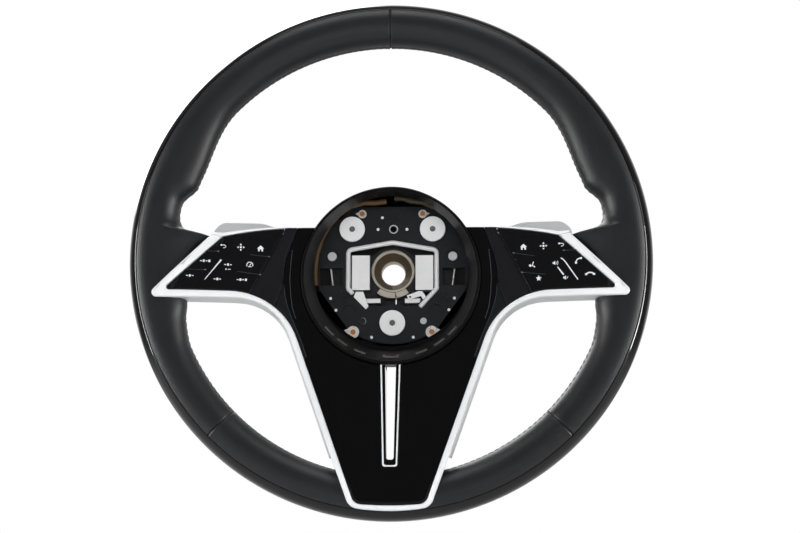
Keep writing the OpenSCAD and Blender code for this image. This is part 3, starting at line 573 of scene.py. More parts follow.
def material(name, colour, rough, metallic=0.0, spec=0.5, sheen=0.0, grain=None, tone=None, wear=None):
    """A procedural material.

    grain is (scale per metre, bump, kind), tone is (scale, spread of the colour), and wear is the spread of
    the roughness."""
    m = bpy.data.materials.new(name)
    m.use_nodes = True
    nt = m.node_tree
    b = nt.nodes["Principled BSDF"]
    b.inputs["Base Color"].default_value = colour
    b.inputs["Roughness"].default_value = rough
    b.inputs["Metallic"].default_value = metallic
    b.inputs["Specular IOR Level"].default_value = spec
    b.inputs["Sheen Weight"].default_value = sheen
    coord = nt.nodes.new("ShaderNodeTexCoord")
    if tone:
        noise = nt.nodes.new("ShaderNodeTexNoise")
        noise.inputs["Scale"].default_value = tone[0]
        noise.inputs["Detail"].default_value = 4
        ramp = nt.nodes.new("ShaderNodeValToRGB")
        lo, hi = 1 - tone[1], 1 + tone[1]
        ramp.color_ramp.elements[0].position = 0.3
        ramp.color_ramp.elements[1].position = 0.7
        ramp.color_ramp.elements[0].color = tuple(min(1, c * lo) for c in colour[:3]) + (1,)
        ramp.color_ramp.elements[1].color = tuple(min(1, c * hi) for c in colour[:3]) + (1,)
        nt.links.new(coord.outputs["Object"], noise.inputs["Vector"])
        nt.links.new(noise.outputs["Fac"], ramp.inputs["Fac"])
        nt.links.new(ramp.outputs["Color"], b.inputs["Base Color"])
        if wear:
            span = nt.nodes.new("ShaderNodeMapRange")
            span.inputs["To Min"].default_value = rough - wear
            span.inputs["To Max"].default_value = rough + wear
            nt.links.new(noise.outputs["Fac"], span.inputs["Value"])
            nt.links.new(span.outputs["Result"], b.inputs["Roughness"])
    if grain:
        scale, depth, kind = grain
        if kind == "cells":
            tex = nt.nodes.new("ShaderNodeTexVoronoi")
            tex.feature = "SMOOTH_F1"
            tex.inputs["Smoothness"].default_value = 0.6
            out = tex.outputs["Distance"]
        else:
            tex = nt.nodes.new("ShaderNodeTexNoise")
            tex.inputs["Detail"].default_value = 3
            out = tex.outputs["Fac"]
        tex.inputs["Scale"].default_value = scale
        bump = nt.nodes.new("ShaderNodeBump")
        bump.inputs["Strength"].default_value = depth
        bump.inputs["Distance"].default_value = 0.0002
        nt.links.new(coord.outputs["Object"], tex.inputs["Vector"])
        nt.links.new(out, bump.inputs["Height"])
        nt.links.new(bump.outputs["Normal"], b.inputs["Normal"])
    return m


LEATHER = material("leather", srgb(19, 20, 23), 0.43, spec=0.5, sheen=0.04, grain=(1500, 0.35, "cells"),
                   tone=(60, 0.10), wear=0.05)
THREAD = material("thread", srgb(66, 66, 70), 0.7, grain=(4000, 0.5, "noise"), tone=(900, 0.15))
GLOSS = material("gloss_black", srgb(4, 4, 5), 0.05, spec=0.25, tone=(30, 0.12), wear=0.01)
BAND = material("band_black", srgb(5, 5, 6), 0.07, spec=0.42, tone=(40, 0.1), wear=0.02)
SILVER = material("satin_silver", srgb(240, 241, 242), 0.34, metallic=0.12, tone=(9, 0.008), wear=0.03,
                  grain=(2500, 0.04, "noise"))
# The pad surrounds' own charcoal, which on the fascia past the fold is a painted reflection
CHARCOAL = material("charcoal", srgb(13, 13, 16), 0.34, spec=0.35, tone=(80, 0.1), wear=0.04,
                    grain=(5000, 0.06, "noise"))
PANEL = material("panel", srgb(8, 8, 10), 0.2, spec=0.3, tone=(80, 0.1), wear=0.03,
                 grain=(5000, 0.04, "noise"))
GRAIN = material("grained_black", srgb(28, 28, 30), 0.55, spec=0.4, tone=(50, 0.08), wear=0.05,
                 grain=(1700, 0.3, "cells"))
RING = material("ring_black", srgb(7, 7, 8), 0.4, spec=0.16, tone=(50, 0.08), wear=0.05,
                grain=(2600, 0.12, "cells"))
# Painted shade for the inside of the rear bowl
SHADE_BLACK = material("shadow_black", srgb(6, 6, 7), 0.6, spec=0.15, tone=(50, 0.1), wear=0.05,
                 grain=(1700, 0.2, "cells"))
# Painted highlight of the strips along the fascia's crease and lit edge
CREASE_HIGHLIGHT = material("painted_crease_highlight", srgb(54, 56, 60), 0.3, spec=0.4, tone=(80, 0.08), wear=0.04)
PLATE = material("plate_black", srgb(31, 32, 35), 0.5, spec=0.3, tone=(70, 0.08), wear=0.06,
                 grain=(2400, 0.2, "cells"))
CAST = material("cast_metal", srgb(242, 242, 242), 0.36, metallic=0.06, tone=(45, 0.05), wear=0.08,
                grain=(900, 0.25, "noise"))
# Painted shade on the side walls of the cast blocks and bars
CAST_SIDE_SHADE = material("cast_side_shade", srgb(150, 151, 153), 0.42, metallic=0.4, tone=(45, 0.06), wear=0.08,
                     grain=(900, 0.25, "noise"))
# Painted shade on the cast parts deep in the hub, outside the blocks and bars
CAST_IN_SHADE = material("cast_in_shade", srgb(40, 40, 42), 0.5, metallic=0.3, tone=(45, 0.08), wear=0.08,
                     grain=(900, 0.25, "noise"))
STEEL = material("bush_steel", srgb(200, 193, 178), 0.3, metallic=0.4, tone=(120, 0.08), wear=0.08,
                 grain=(1400, 0.1, "noise"))
CONE = material("bush_cone", srgb(112, 98, 80), 0.3, metallic=0.5, tone=(120, 0.1), wear=0.08,
                grain=(1400, 0.1, "noise"))
WIRE = material("bright_wire", srgb(242, 242, 243), 0.3, metallic=0.1, tone=(60, 0.03), wear=0.05)
BRIGHT = material("bright_steel", srgb(224, 222, 216), 0.28, metallic=0.4, tone=(90, 0.05), wear=0.06)
WHITE = material("white_plastic", srgb(246, 247, 247), 0.35, spec=0.4, tone=(60, 0.02),
                 grain=(2600, 0.05, "noise"))
# Grey of the marks in the horn caps' recesses, and a painted highlight at each divider's end
MARK_AND_GLINT = material("grey_mark_and_glint", srgb(96, 98, 101), 0.5, tone=(200, 0.08))
ICON = material("icon_white", srgb(226, 228, 230), 0.5, tone=(200, 0.03))
# Painted highlight along the low ridges between the touch zones
RIDGE_HIGHLIGHT = material("ridge_highlight_grey", srgb(46, 47, 50), 0.45, tone=(200, 0.05))
CLIP = material("clip_steel", srgb(92, 89, 84), 0.4, metallic=0.5, tone=(90, 0.1), wear=0.06)
BRASS = material("contact_copper", srgb(205, 130, 70), 0.3, metallic=0.5, tone=(300, 0.12), wear=0.08)
GREYP = material("grey_plastic", srgb(190, 195, 196), 0.4, tone=(200, 0.05), grain=(2600, 0.08, "noise"))
PADDLE = material("paddle_silver", srgb(232, 233, 234), 0.36, metallic=0.12, tone=(9, 0.01), wear=0.04,
                  grain=(2200, 0.05, "noise"))
SKIRT = material("skirt_silver", srgb(226, 227, 228), 0.36, metallic=0.12, tone=(9, 0.01), wear=0.04,
                 grain=(2200, 0.05, "noise"))
DARKSTEEL = material("dark_steel", srgb(70, 70, 74), 0.35, metallic=0.8, tone=(90, 0.1), wear=0.06)
BOARD = material("circuit_board", srgb(22, 70, 44), 0.4, tone=(200, 0.15), grain=(900, 0.2, "noise"))
FOAM = material("foam", srgb(26, 26, 27), 0.8, tone=(80, 0.1), grain=(1200, 0.3, "noise"))
YELLOW = material("wire_yellow", srgb(88, 66, 34), 0.45, tone=(150, 0.18), grain=(1500, 0.1, "noise"))
OLIVE = material("wire_olive", srgb(58, 53, 34), 0.5, tone=(150, 0.2), grain=(1500, 0.1, "noise"))

# ---- rim ----


def side_angle(a):
    """Degrees above the level line through the hub, the same on both sides."""
    a = a % 360
    return 180 - a if 90 < a <= 270 else (a - 360 if a > 270 else a)


# Extra width of the grip where a side spoke grows out of it, by side_angle
ROOT = ((-24, -22.4, -19, -16.3, -13.6, -10, -5, 0, 3, 5, 6.8, 7.3, 7.6, 8.2, 9, 10, 11.4, 13),
        (0, 0.4, 2, 3.4, 6.2, 8, 9, 15, 20, 25, 26.6, 22, 12, 6.2, 3.4, 1.7, 0.5, 0))


def inward(a):
    """Width of the grip from its middle line to the rim's inner edge."""
    s = side_angle(a)
    thumb = THUMB_H * ease((s - 14.5) / 6) * (1 - ease((s - 24) / 20))
    return GRIP_W / 2 + thumb + float(np.interp(s, *ROOT))


# Round the section, in degrees: the band's edge, the closing seam, and how far from it the stitches lie
BAND_EDGE = math.degrees(math.acos((BAND_IN - RIM_C) / (GRIP_W / 2)))
SEAM_W = 177.0
STITCH_OFF = 11.0
# Stitches: pitch and size in millimetres, slant in degrees
STITCH_PITCH = 4.6
STITCH_SIZE = (3.2, 0.6, 0.36)
STITCH_TILT = 26
# Depths in the leather: the seams across the grip, the puff beside them, the closing seam, and under the band
SEAM_DIP = 0.75
SEAM_PUFF = 0.2
CLOSING_DIP = 0.55
TUCK = 2.9


def grip(a, w, lift=0.0):
    """Point of the leather at angle a round the wheel and w round its section."""
    c, s = math.cos(math.radians(w)), math.sin(math.radians(w))
    reach = GRIP_W / 2 if c > 0 else inward(a)
    r = RIM_C + (reach + lift) * c
    turn = math.radians(a)
    return np.array((r * math.cos(turn), r * math.sin(turn), DISH + (GRIP_T / 2 + lift) * s))


def make_leather():
    stations = set(np.round(np.arange(0, 360, 0.75), 4))
    for seam in SEAM_ANGLES:
        for d in (0, 0.2, 0.4, 0.65, 0.95, 1.3, 1.9):
            for sign in (-1, 1):
                stations.add(round(seam + sign * math.degrees(d / RIM_C), 4))
    for d in (6.2, 6.5, 7.0, 7.15, 7.45, 7.9, 8.6):
        stations |= {round(d, 4), round(180 - d, 4)}
    stations = sorted(stations)
    turns = set(np.round(np.arange(-180, 180, 5.0), 3))
    for sign in (-1, 1):
        for d in (-3.0, -1.5, -0.4, 0.4, 1.2, 2.4, 4.0):
            turns.add(round(sign * (BAND_EDGE + d), 3))
    for d in (-3.4, -1.8, -0.8, 0, 0.8, 1.8):
        turns.add(round(SEAM_W + d, 3))
    turns = sorted(turns)
    verts = []
    for a in stations:
        near = min(abs((a - q + 180) % 360 - 180) for q in SEAM_ANGLES) * math.pi / 180 * RIM_C
        dip = -SEAM_DIP * math.exp(-(near / 0.5) ** 2) + SEAM_PUFF * math.exp(-((near - 1.5) / 0.7) ** 2)
        for w in turns:
            under = ease((BAND_EDGE + 1.6 - abs(w)) / 2.6)
            edge = CLOSING_DIP * math.exp(-(((w - SEAM_W + 180) % 360 - 180) / 1.1) ** 2)
            verts.append(grip(a, w, dip * (1 - under) - TUCK * under - edge))
    faces = sheet_faces(len(stations), len(turns), True, True)
    ob = mesh("rim_wrap", verts, faces, [LEATHER], slot="leather", smooth=60)
    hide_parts("rim_leather")


def box_part(place, size):
    """A small six-sided bar with tapered ends, as (verts, faces), from its middle and three directions."""
    c, u, v, w = place
    lx, ly, lz = (s / 2 for s in size)
    prof = [(-lx, 0.45), (-lx * 0.8, 0.85), (-lx * 0.4, 1.0), (lx * 0.4, 1.0), (lx * 0.8, 0.85), (lx, 0.45)]
    verts = []
    for x, s in prof:
        for k in range(6):
            t = 2 * math.pi * k / 6
            verts.append(tuple(c + u * x + v * ly * s * math.cos(t) + w * lz * s * math.sin(t)))
    faces = sheet_faces(len(prof), 6, closed_cols=True)
    faces += [tuple(range(6)), tuple(range(len(verts) - 1, len(verts) - 7, -1))]
    return verts, faces


def make_stitches():
    """Slanted stitches on both sides of the seam that closes the leather round the rim's inner edge."""
    parts = []
    for side in (-1, 1):
        w = SEAM_W + side * STITCH_OFF
        a = 0.0
        while a < 360:
            p, q = grip(a, w, 0.1), grip(a + 0.4, w, 0.1)
            r = math.hypot(p[0], p[1])
            s = side_angle(a)
            if s > 8.5 or -79 < s < -15:
                u = unit(q - p)
                normal = unit(grip(a, w, 1.0) - p)
                across = np.cross(normal, u)
                tilt = math.radians(STITCH_TILT) * side
                along = unit(u * math.cos(tilt) + across * math.sin(tilt))
                parts.append(box_part((p, along, unit(np.cross(normal, along)), normal), STITCH_SIZE))
            a += math.degrees(STITCH_PITCH / r)
    join("rim_stitches", parts, [THREAD], slot="leather", smooth=60)


def make_band():
    """The black band round the outside of the rim."""
    def under(d, w):
        """Point of the section at w degrees round it and d under its surface."""
        t = math.radians(w)
        return RIM_C + (GRIP_W / 2 - d) * math.cos(t), DISH + (GRIP_T / 2 - d) * math.sin(t)

    lim = BAND_EDGE - 1.1
    outer = [under(0, w) for w in np.linspace(-lim, lim, 40)]
    inner = [under(BAND_T, w) for w in np.linspace(lim, -lim, 10)]
    soft_hi = [under(0.12, lim + 0.9), under(0.45, lim + 1.4)]
    soft_lo = [under(0.45, -lim - 1.4), under(0.12, -lim - 0.9)]
    ob = revolve("rim_band_form", soft_lo + outer + soft_hi + inner, [BAND], n=360, slot="gloss_black",
                 smooth=50)
    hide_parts("rim_band")


# ---- spokes ----


# Seam beds: depth under the surface, thickness and width
BED_DEPTH = 3.05
BED_T = 0.5
BED_W = 3.0


def make_front():
    chamfer = [(0, 0.9), (0.12, 0.55), (0.4, 0.36), (1.35, 0.12), (1.6, 0.02), (1.8, 0)]
    loop = fascia_loop()
    room = inset(loop, 2.3)
    # Strips along these lines are painted lighter as highlights
    highlight_strips = [(fold_line, 0.16), (sheen_line, 0.2)]  # each with half its width
    lines = []
    for path, w in highlight_strips:
        fine = resample(path, 1.2)
        for sign in (-1, 1):
            for flipped in (1, -1):
                side = shifted(fine, sign * w) * (flipped, 1)
                lines.append(side[inside(side, room)])
    fold_y, fold_x = fold_line[::-1, 1], fold_line[::-1, 0]

    def pick(x, y):
        """2 on a painted highlight strip, 1 past the fold, painted charcoal as the grey reflection there, 0
        elsewhere.
        """
        q = np.array((abs(x), y))
        if any(gap_to(path, q) < w for path, w in highlight_strips):
            return 2
        return 1 if -71 < y < -18 and abs(x) > np.interp(y, fold_y, fold_x) else 0

    ob = plate("fascia", loop, skin, FASCIA_T, chamfer, [GLOSS, CHARCOAL, CREASE_HIGHLIGHT], lines=lines, pick=pick,
               slot="gloss_black")
    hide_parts("front_fascia")
    soft = edge_round(1.3, 5)
    ob = plate("trim", trim_loop(), lambda x, y: skin(x, y) + 0.6, TRIM_T, soft, [SILVER], step=1.6,
               slot="satin_silver")
    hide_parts("trim_bezel")
    ob = plate("slot_trim", slot_frame_loop(), lambda x, y: skin(x, y) + 0.3, FASCIA_T, edge_round(0.28, 3),
               [SILVER], step=2.0, slot="satin_silver")
    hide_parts("slot_frame")
    for side, body in ((1, "right"), (-1, "left")):
        def flip(loop):
            return loop if side > 0 else ccw(mirrored(loop))

        ob = plate("pad_surround_" + body, flip(pad_frame_loop()), skin, FASCIA_T, edge_round(0.35, 3),
                   [CHARCOAL], step=3.0, slot="charcoal")
        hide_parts("pad_frame_" + body)
        ob = plate("panel_" + body, flip(panel_loop()), skin, PANEL_T, edge_round(0.6, 4), [PANEL], step=3.0,
                   body=body + "_panel", slot="charcoal")
        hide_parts("touch_panel_" + body)
        for part, run in (("outer", panel_run), ("inner", step_run)):
            run = np.array([p for p in run if p[1] < edge_y(p[0]) - 0.6])
            loop = flip(ccw(ribbon(resample(run, 2.0)[:9], BED_W)))
            plate("seam_bed_" + part + "_" + body, loop, lambda x, y: skin(x, y) - BED_DEPTH, BED_T,
                  edge_round(0.1, 2), [CHARCOAL], step=2.0, slot="charcoal")
        plate("lip_" + body, flip(lip_loop()), lambda x, y: skin(x, y) + 0.1, FASCIA_T, edge_round(0.22, 3),
              [SILVER], step=2.0, slot="satin_silver")


make_leather()
make_stitches()
make_band()
make_front()

for name in ("trim_skirt_left", "trim_skirt_right"):
    softened(name, [SKIRT], 0.3, 3, angle=40)
softened("slot_liner", [GLOSS], 0.2, 2)
softened("well_ring", [RING], 0.35, 3)
softened("carrier_plate", [PLATE], 0.25, 2)


def bowl_tone(c, n):
    """1 inside the bowl, painted near black as shade, 0 on its outside."""
    out = np.array((c[0], c[1] + WELL_DROP))
    return 1 if n[2] > 0.3 or float(out @ np.array(n[:2])) < -0.3 * np.linalg.norm(out) else 0


def cast_tone(c, n):
    """0 on top of the blocks and bars, 1 on their sides, painted darker as shade, 2 elsewhere, painted dark
    as shade.
    """
    x, y, z = abs(c[0]), c[1], c[2]
    block = 16.3 < x < 30.3 and -16.3 < y < 10.4 and z > 24.3
    bar = 8.5 < x < 21.5 and -25.6 < y < -21.6 and z > 22
    return (0 if n[2] > 0.5 else 1) if block or bar else 2


softened("rear_bowl", [GRAIN, SHADE_BLACK], 0.6, 3, pick=bowl_tone)
softened("rear_cover", [GRAIN], 0.6, 3)
softened("armature", [CAST, CAST_SIDE_SHADE, CAST_IN_SHADE], 0.5, 2, pick=cast_tone)


def bush_tone(c, n):
    """1 on the bush's cone, 0 elsewhere."""
    return 1 if 0.1 < n[2] < 0.95 and math.hypot(c[0], c[1]) < 15.5 else 0


softened("spline_bush", [STEEL, CONE], 0.2, 2, pick=bush_tone)
softened("cover_screws", [DARKSTEEL], 0.25, 2)
softened("plate_screws", [DARKSTEEL], 0.12, 2)
softened("latch_tab", [WIRE], 0.25, 2)
softened("latch_lever", [WIRE], 0.25, 2)
softened("contact_collars", [BRIGHT], 0.3, 2)
softened("contact_pins", [BRASS], 0.3, 2)
softened("guide_plugs", [GREYP], 0.3, 2)
softened("plate_studs", [WHITE], 0.2, 2)
softened("window_springs", [BRIGHT], 0.2, 2)
softened("well_springs", [CLIP], 0.04, 1)
softened("well_staple", [CLIP], 0.04, 1)
for side in ("left", "right"):
    softened("paddle_" + side, [PADDLE], 0.8, 4, body=side + "_paddle")
    softened("paddle_bracket_" + side, [GRAIN], 0.5, 2)
    softened("paddle_pin_" + side, [BRIGHT], 0.3, 2)
for name in ("left", "right", "lower"):
    cap_top = -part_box("horn_cap_" + name)[0][1] * 1000

    def cap_tone(c, n):
        """1 on the floor of the small recess in a cap's top."""
        return 1 if n[2] > 0.5 and cap_top - 1.2 < c[2] < cap_top - 0.2 else 0

    softened("horn_cap_" + name, [WHITE, MARK_AND_GLINT], 0.35, 3, body=name + "_horn_cap",
             pick=cap_tone)


# ---- small pieces of the hub ----

SCREW_AT = (-21.7, -39.1)


def ring_mark(name, r0, r1, n, centre):
    """A flat ring, just proud of the carrier plate."""
    low, high = PLATE_Z - 0.3, PLATE_Z + 0.1
    revolve(name, [(r0, low), (r0, high), (r1, high), (r1, low)], [GREYP], n=n, centre=centre,
            slot="grey_plastic")


ring_mark("datum_ring", 2.5, 3.3, 48, (0.8, 29))
ring_mark("screw_ring", 1.9, 2.5, 40, SCREW_AT)
up = np.array((0, 0, 1.0))
slot_dir = unit(np.array((0.3, 1.0, 0)))
slot_bar = box_part((np.array((*SCREW_AT, PLATE_Z)), slot_dir, np.cross(up, slot_dir), up), (2.8, 0.6, 0.3))
join("screw_slot", [slot_bar], [GREYP], slot="grey_plastic")


WIRE_R = 1.7


def wire_route():
    """The latch wire's middle line, which lies on the carrier plate."""
    p = rounded([(-29.4, -18.6, 0), (-32.4, -15.4, 2.2), (-32.4, 13.2, 3.4), (0, 18.8, 6), (32.4, 13.2, 3.4),
                 (32.4, -15.4, 2.2), (20.6, -28.4, 0)], 10)
    return [(x, y, PLATE_Z + WIRE_R) for x, y in resample(p, 2.0)]


ob = tube("latch_wire", wire_route(), WIRE_R, [WIRE], m=24, slot="bright_steel")
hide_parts("latch_spring")


def dress(node, mat):
    """Gives a CAD node that stays as it is its material."""
    ob = nodes[node]
    ob.data.materials.clear()
    ob.data.materials.append(mat)


def make_lug():
    """The machined face of the clamp under the bush, split by its slit."""
    prof = [(16.3, WEB_Z - 0.6), (16.3, WEB_Z + 0.1), (16.5, WEB_Z + 0.25), (20.3, WEB_Z + 0.25),
            (20.5, WEB_Z + 0.1), (20.5, WEB_Z - 0.6)]
    n = len(prof)
    parts = []
    for a0, a1 in ((-125, -84.8), (-81.8, -55)):
        verts = []
        turn = np.radians(np.linspace(a0, a1, 24))
        for t in turn:
            verts += [(r * math.cos(t), r * math.sin(t), z) for r, z in prof]
        faces = sheet_faces(len(turn), n, closed_cols=True)
        faces += [tuple(range(n)), tuple(range(len(verts) - 1, len(verts) - n - 1, -1))]
        parts.append((verts, faces))
    join("clamp_face", parts, [STEEL], slot="bush_steel")


make_lug()

# ---- signs on the touch panels ----


def dot(cx, cy, r):
    return circle_pts(r, 0, 360, 16, cx, cy)[:-1]


def bar(cx, cy, w, h):
    return np.array([(cx - w / 2, cy - h / 2), (cx + w / 2, cy - h / 2), (cx + w / 2, cy + h / 2),
                     (cx - w / 2, cy + h / 2)])


def back_sign():
    tail = [(-1, 0.9), (0.6, 0.9), (1.5, 0.6), (1.9, -0.1), (1.5, -0.8), (0.6, -1.1), (0, -1.1)]
    return [ribbon(tail, 0.5), np.array([(-2.1, 0.9), (-0.9, 0.1), (-0.9, 1.7)])]


def home_sign():
    return [np.array([(-2.4, 0.1), (-1.7, 0.1), (-1.7, -1.9), (-0.6, -1.9), (-0.6, -0.5), (0.6, -0.5),
                      (0.6, -1.9), (1.7, -1.9), (1.7, 0.1), (2.4, 0.1), (0, 2.3)])]


def cross_sign():
    """A dot with an arrowhead on each of its four sides."""
    head = ((1.5, -0.75), (2.7, 0), (1.5, 0.75))
    out = [dot(0, 0, 0.75)]
    for k in range(4):
        t = math.pi / 2 * k
        c, s = math.cos(t), math.sin(t)
        out.append(np.array([(x * c - y * s, x * s + y * c) for x, y in head]))
    return out


def dial_sign():
    return [ribbon(circle_pts(2.1, -25, 205, 12), 0.55),
            ribbon([(-0.1, -0.5), (0.5, 0.4), (1.1, 1.2)], 0.6, 0.4), bar(0, -1.2, 2.4, 0.5)]


def star_sign():
    """A five-pointed star, its tips and its inner corners by turns."""
    radii = (2.2, 2.2 * 0.45)
    return [np.array([(radii[k % 2] * math.cos(math.radians(90 + 36 * k)),
                       radii[k % 2] * math.sin(math.radians(90 + 36 * k))) for k in range(10)])]


def speaker_sign():
    return [np.array([(-1.9, -0.6), (-1.1, -0.6), (0, -1.5), (0, 1.5), (-1.1, 0.6), (-1.9, 0.6)]),
            ribbon(circle_pts(1.0, -45, 45, 12), 0.35), ribbon(circle_pts(1.9, -45, 45, 12), 0.35)]


def voice_sign():
    return [dot(-1.3, -0.5, 0.9), ribbon([(0, -0.6), (0.4, 0.7), (1.0, 2.1)], 0.6),
            ribbon([(0, -0.6), (1, -1), (2, -1.6)], 0.7)]


def phone_sign():
    return [ribbon([(-2, -1.7), (-1.7, -0.3), (-0.9, 0.9), (0.3, 1.6), (1.9, 1.8)], 0.75),
            dot(-1.8, -1.4, 0.8), dot(1.7, 1.8, 0.8)]


def end_call_sign():
    return [ribbon([(-2.9, -0.6), (-1.6, 0.4), (0, 0.75), (1.6, 0.4), (2.9, -0.6)], 0.95),
            bar(-2.7, -0.5, 1.5, 1.3), bar(2.7, -0.5, 1.5, 1.3)]


def quiet_sign():
    return [np.array([(-1.6, -0.6), (-0.8, -0.6), (0.3, -1.5), (0.3, 1.5), (-0.8, 0.6), (-1.6, 0.6)]),
            ribbon([(0.8, -0.8), (1.3, 0), (1.8, 0.8)], 0.4)]


def dash_sign(n=4):
    """A row of short dashes, where the object has words."""
    return [bar((k - (n - 1) / 2) * 1.9, 0, 1.3, 1.7 if k % 2 else 0.6) for k in range(n)]


def dot_dash_sign():
    return [dot(0, 0, 0.5), bar(2.2, 0, 1.9, 0.45)]


# Each sign's place on its panel and its outlines; a long stroke is drawn in place
SIGNS = {
    "left": [(-117.7, 6.9, back_sign()), (-105.5, 6.6, cross_sign()), (-91.8, 6.0, home_sign()),
             (-99.1, -5.9, dial_sign()), (-129.8, -3.9, dash_sign()), (-114.1, -6.1, dash_sign(3)),
             (-140.1, -14.7, dash_sign(3)), (-121.2, -16.6, dash_sign(3)), (-104.5, -16.6, dash_sign(4)),
             (-115.4, -9.4, dot_dash_sign()),
             (0, 0, [ribbon([(-118.8, -2.7), (-124.4, -10), (-129.9, -17.2)], 1.0, 0.4)])],
    "right": [(93.7, 6.2, home_sign()), (107.6, 6.5, cross_sign()), (119.7, 6.9, back_sign()),
              (99.6, -6.7, voice_sign()), (104, -16.5, star_sign()), (115.6, -6, speaker_sign()),
              (122.4, -16.7, quiet_sign()), (131.6, -5.1, phone_sign()), (139.3, -14.4, end_call_sign()),
              (0, 0, [ribbon([(117.1, -8.8), (119.1, -11.7), (121.2, -14.6)], 0.6, 1.1),
                      ribbon([(119.4, -2.6), (121.0, -3.6), (122.6, -5.6), (126.5, -11.6), (130.9, -18.3)],
                             0.75)])],
}
# Low ridges between the touch zones, whose grey is a painted highlight
DIVIDERS = {
    "left": [((-130.7, 3.2), (-120.4, 3.2)), ((-98.9, 1.5), (-85.1, 0.3)), ((-145.3, -10.2), (-129, -10.2)),
             ((-107.5, -10.7), (-91.2, -12.7))],
    "right": [((101.1, -0.2), (86.2, 2.4)), ((131.6, 2.7), (120.9, 2.7)), ((108.7, -13.6), (92, -11.7))],
}


SIGN_SINK = 0.4


def prism(loop, lift=0.05):
    """A sign's solid, sunk into the panel and just proud of it, as (verts, faces)."""
    loop = ccw(loop)
    n = len(loop)
    verts = [(x, y, skin(x, y) + d) for d in (lift, -SIGN_SINK) for x, y in loop]
    faces = [tuple(range(n)), tuple(range(2 * n - 1, n - 1, -1))]
    faces += [(k, n + k, n + (k + 1) % n, (k + 1) % n) for k in range(n)]
    return verts, faces


for side in ("left", "right"):
    parts = [prism(loop + (x, y)) for x, y, loops in SIGNS[side] for loop in loops]
    join("signs_" + side, parts, [ICON], body=side + "_panel", slot="white_plastic", smooth=20)
    # The dividers' grey and the lighter grey at their ends are painted highlights along the ridges
    parts = [prism(ribbon(resample(ends, 3.0), 0.3)) for ends in DIVIDERS[side]]
    join("dividers_" + side, parts, [RIDGE_HIGHLIGHT], body=side + "_panel", slot="grey_plastic", smooth=20)
    parts = []
    for a, b in DIVIDERS[side]:
        a, b = np.array(a), np.array(b)
        parts.append(prism(ribbon([b - unit(b - a) * 1.6, b - unit(b - a) * 0.8, b], 0.4, 0.8), lift=0.07))
    join("divider_ends_" + side, parts, [MARK_AND_GLINT], body=side + "_panel", slot="grey_plastic", smooth=20)

dress("rim_foam", FOAM)
dress("rim_core", DARKSTEEL)
dress("switch_board_left", BOARD)
dress("switch_board_right", BOARD)
dress("wiring_left", YELLOW)
dress("wiring_right", OLIVE)

# ---- studio ----

FLOOR_GLOW = 0.75
FLOOR_Z = -0.27
FLOOR_HALF = 4
# The camera that took the photo, in metres and in pixels of the 800 pixel wide picture
EYE = (0.038, -1.280, -0.215)
FOCAL = 1724.0
PICTURE_W = 800
PICTURE_MID = (400, 266.5)
RIM_SEEN_AT = (390.6, 257.6)
SENSOR = 36


def add_floor():
    me = bpy.data.meshes.new("floor")
    corners = [(x * FLOOR_HALF, y * FLOOR_HALF, FLOOR_Z) for x, y in ((-1, -1), (1, -1), (1, 1), (-1, 1))]
    me.from_pydata(corners, [], [(0, 1, 2, 3)])
    ob = bpy.data.objects.new("floor", me)
    bpy.context.scene.collection.objects.link(ob)
    m = material("floor_pale", (0.86, 0.86, 0.86, 1), 0.8, spec=0.2, tone=(3, 0.01))
    me.materials.append(m)
    # The camera sees the floor pale all over, with the shadow still in it
    nt = m.node_tree
    path = nt.nodes.new("ShaderNodeLightPath")
    seen = nt.nodes.new("ShaderNodeMath")
    seen.operation = "MULTIPLY"
    seen.inputs[1].default_value = FLOOR_GLOW
    glow = nt.nodes.new("ShaderNodeEmission")
    glow.inputs["Color"].default_value = (0.93, 0.93, 0.93, 1)
    mix = nt.nodes.new("ShaderNodeMixShader")
    nt.links.new(path.outputs["Is Camera Ray"], seen.inputs[0])
    nt.links.new(seen.outputs[0], mix.inputs["Fac"])
    nt.links.new(nt.nodes["Principled BSDF"].outputs[0], mix.inputs[1])
    nt.links.new(glow.outputs[0], mix.inputs[2])
    nt.links.new(mix.outputs[0], nt.nodes["Material Output"].inputs["Surface"])


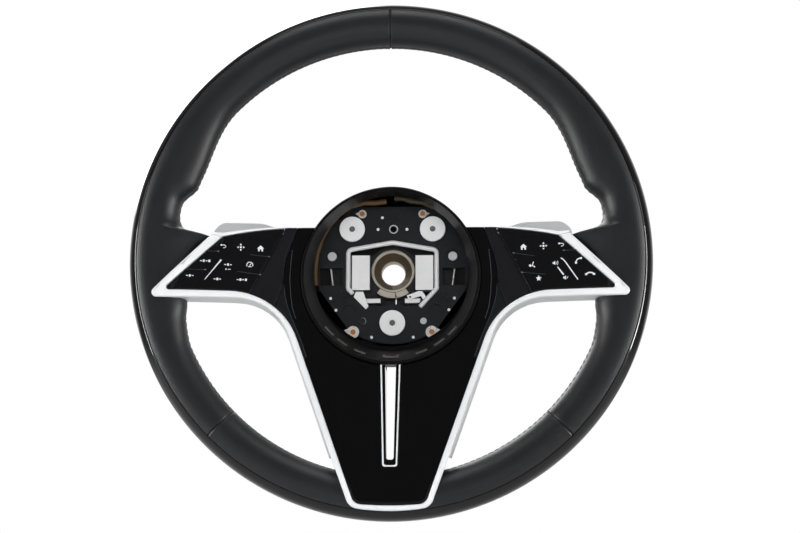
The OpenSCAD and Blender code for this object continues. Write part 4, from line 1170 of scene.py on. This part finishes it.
def add_world():
    """A dim room that the camera sees white, with a white wall behind the wheel in reflections."""
    w = bpy.data.worlds.new("studio")
    bpy.context.scene.world = w
    w.use_nodes = True
    nt = w.node_tree
    nt.nodes.clear()
    out = nt.nodes.new("ShaderNodeOutputWorld")
    room = nt.nodes.new("ShaderNodeBackground")
    room.inputs["Color"].default_value = (1, 1, 1, 1)
    room.inputs["Strength"].default_value = 0.18
    white = nt.nodes.new("ShaderNodeBackground")
    white.inputs["Color"].default_value = (1, 1, 1, 1)
    white.inputs["Strength"].default_value = 1.0
    path = nt.nodes.new("ShaderNodeLightPath")
    coord = nt.nodes.new("ShaderNodeTexCoord")
    sep = nt.nodes.new("ShaderNodeSeparateXYZ")
    span = nt.nodes.new("ShaderNodeMapRange")
    span.inputs["From Min"].default_value = 0.5
    span.inputs["From Max"].default_value = 0.9
    shiny = nt.nodes.new("ShaderNodeMath")
    shiny.operation = "MAXIMUM"
    part = nt.nodes.new("ShaderNodeMath")
    part.operation = "MULTIPLY"
    seen = nt.nodes.new("ShaderNodeMath")
    seen.operation = "MAXIMUM"
    mix = nt.nodes.new("ShaderNodeMixShader")
    nt.links.new(coord.outputs["Generated"], sep.inputs[0])
    nt.links.new(sep.outputs["Y"], span.inputs["Value"])
    nt.links.new(path.outputs["Is Glossy Ray"], shiny.inputs[0])
    nt.links.new(path.outputs["Is Transmission Ray"], shiny.inputs[1])
    nt.links.new(shiny.outputs[0], part.inputs[0])
    nt.links.new(span.outputs["Result"], part.inputs[1])
    nt.links.new(path.outputs["Is Camera Ray"], seen.inputs[0])
    nt.links.new(part.outputs[0], seen.inputs[1])
    nt.links.new(seen.outputs[0], mix.inputs["Fac"])
    nt.links.new(room.outputs[0], mix.inputs[1])
    nt.links.new(white.outputs[0], mix.inputs[2])
    nt.links.new(mix.outputs[0], out.inputs["Surface"])


def add_light(name, at, aim, size, power):
    light = bpy.data.lights.new(name, "AREA")
    light.shape = "RECTANGLE"
    light.size, light.size_y = size
    light.energy = power
    ob = bpy.data.objects.new(name, light)
    bpy.context.scene.collection.objects.link(ob)
    ob.location = at
    ob.rotation_euler = (Vector(aim) - Vector(at)).to_track_quat("-Z", "Y").to_euler()
    return ob


def add_camera():
    cam = bpy.data.cameras.new("camera")
    ob = bpy.data.objects.new("camera", cam)
    bpy.context.scene.collection.objects.link(ob)
    eye = Vector(EYE)
    rim = Vector((0, -DISH / 1000, 0))
    cam.sensor_width = SENSOR
    cam.lens = FOCAL / PICTURE_W * SENSOR
    look = (rim - eye).normalized()
    right = look.cross(Vector((0, 0, 1))).normalized()
    up = right.cross(look)
    scale = (rim - eye).length / FOCAL
    aside, down = (m - s for m, s in zip(PICTURE_MID, RIM_SEEN_AT))
    target = rim + right * aside * scale - up * down * scale
    ob.location = eye
    ob.rotation_euler = (target - eye).to_track_quat("-Z", "Y").to_euler()
    cam.clip_start, cam.clip_end = 0.05, 50
    bpy.context.scene.camera = ob


add_floor()
add_world()
HUB = (0, -0.07, 0)
add_light("top_soft", (0, -0.36, 0.95), HUB, (0.9, 0.35), 3.4)
add_light("left_soft", (-0.95, -0.36, 0), HUB, (0.35, 0.9), 3.2)
add_light("right_soft", (0.95, -0.36, 0), HUB, (0.35, 0.9), 3.2)
add_light("low_soft", (0, -0.36, -0.95), HUB, (0.9, 0.35), 2.6)
fill = add_light("front_soft", (0.04, -1.5, -0.2), HUB, (0.9, 0.9), 18.5)
fill.visible_glossy = False
for side, x in (("left", -0.95), ("right", 0.95)):
    strip = add_light(side + "_strip", (x, -0.14, 0), (0, -0.12, 0), (0.07, 0.5), 5.0)
    strip.visible_diffuse = False
    strip.visible_transmission = False
add_light("rear_soft", (-0.5, 0.9, 0.7), (0, 0, 0), (0.8, 0.8), 9.0)
add_camera()

view = bpy.context.scene.view_settings
view.view_transform = "Standard"
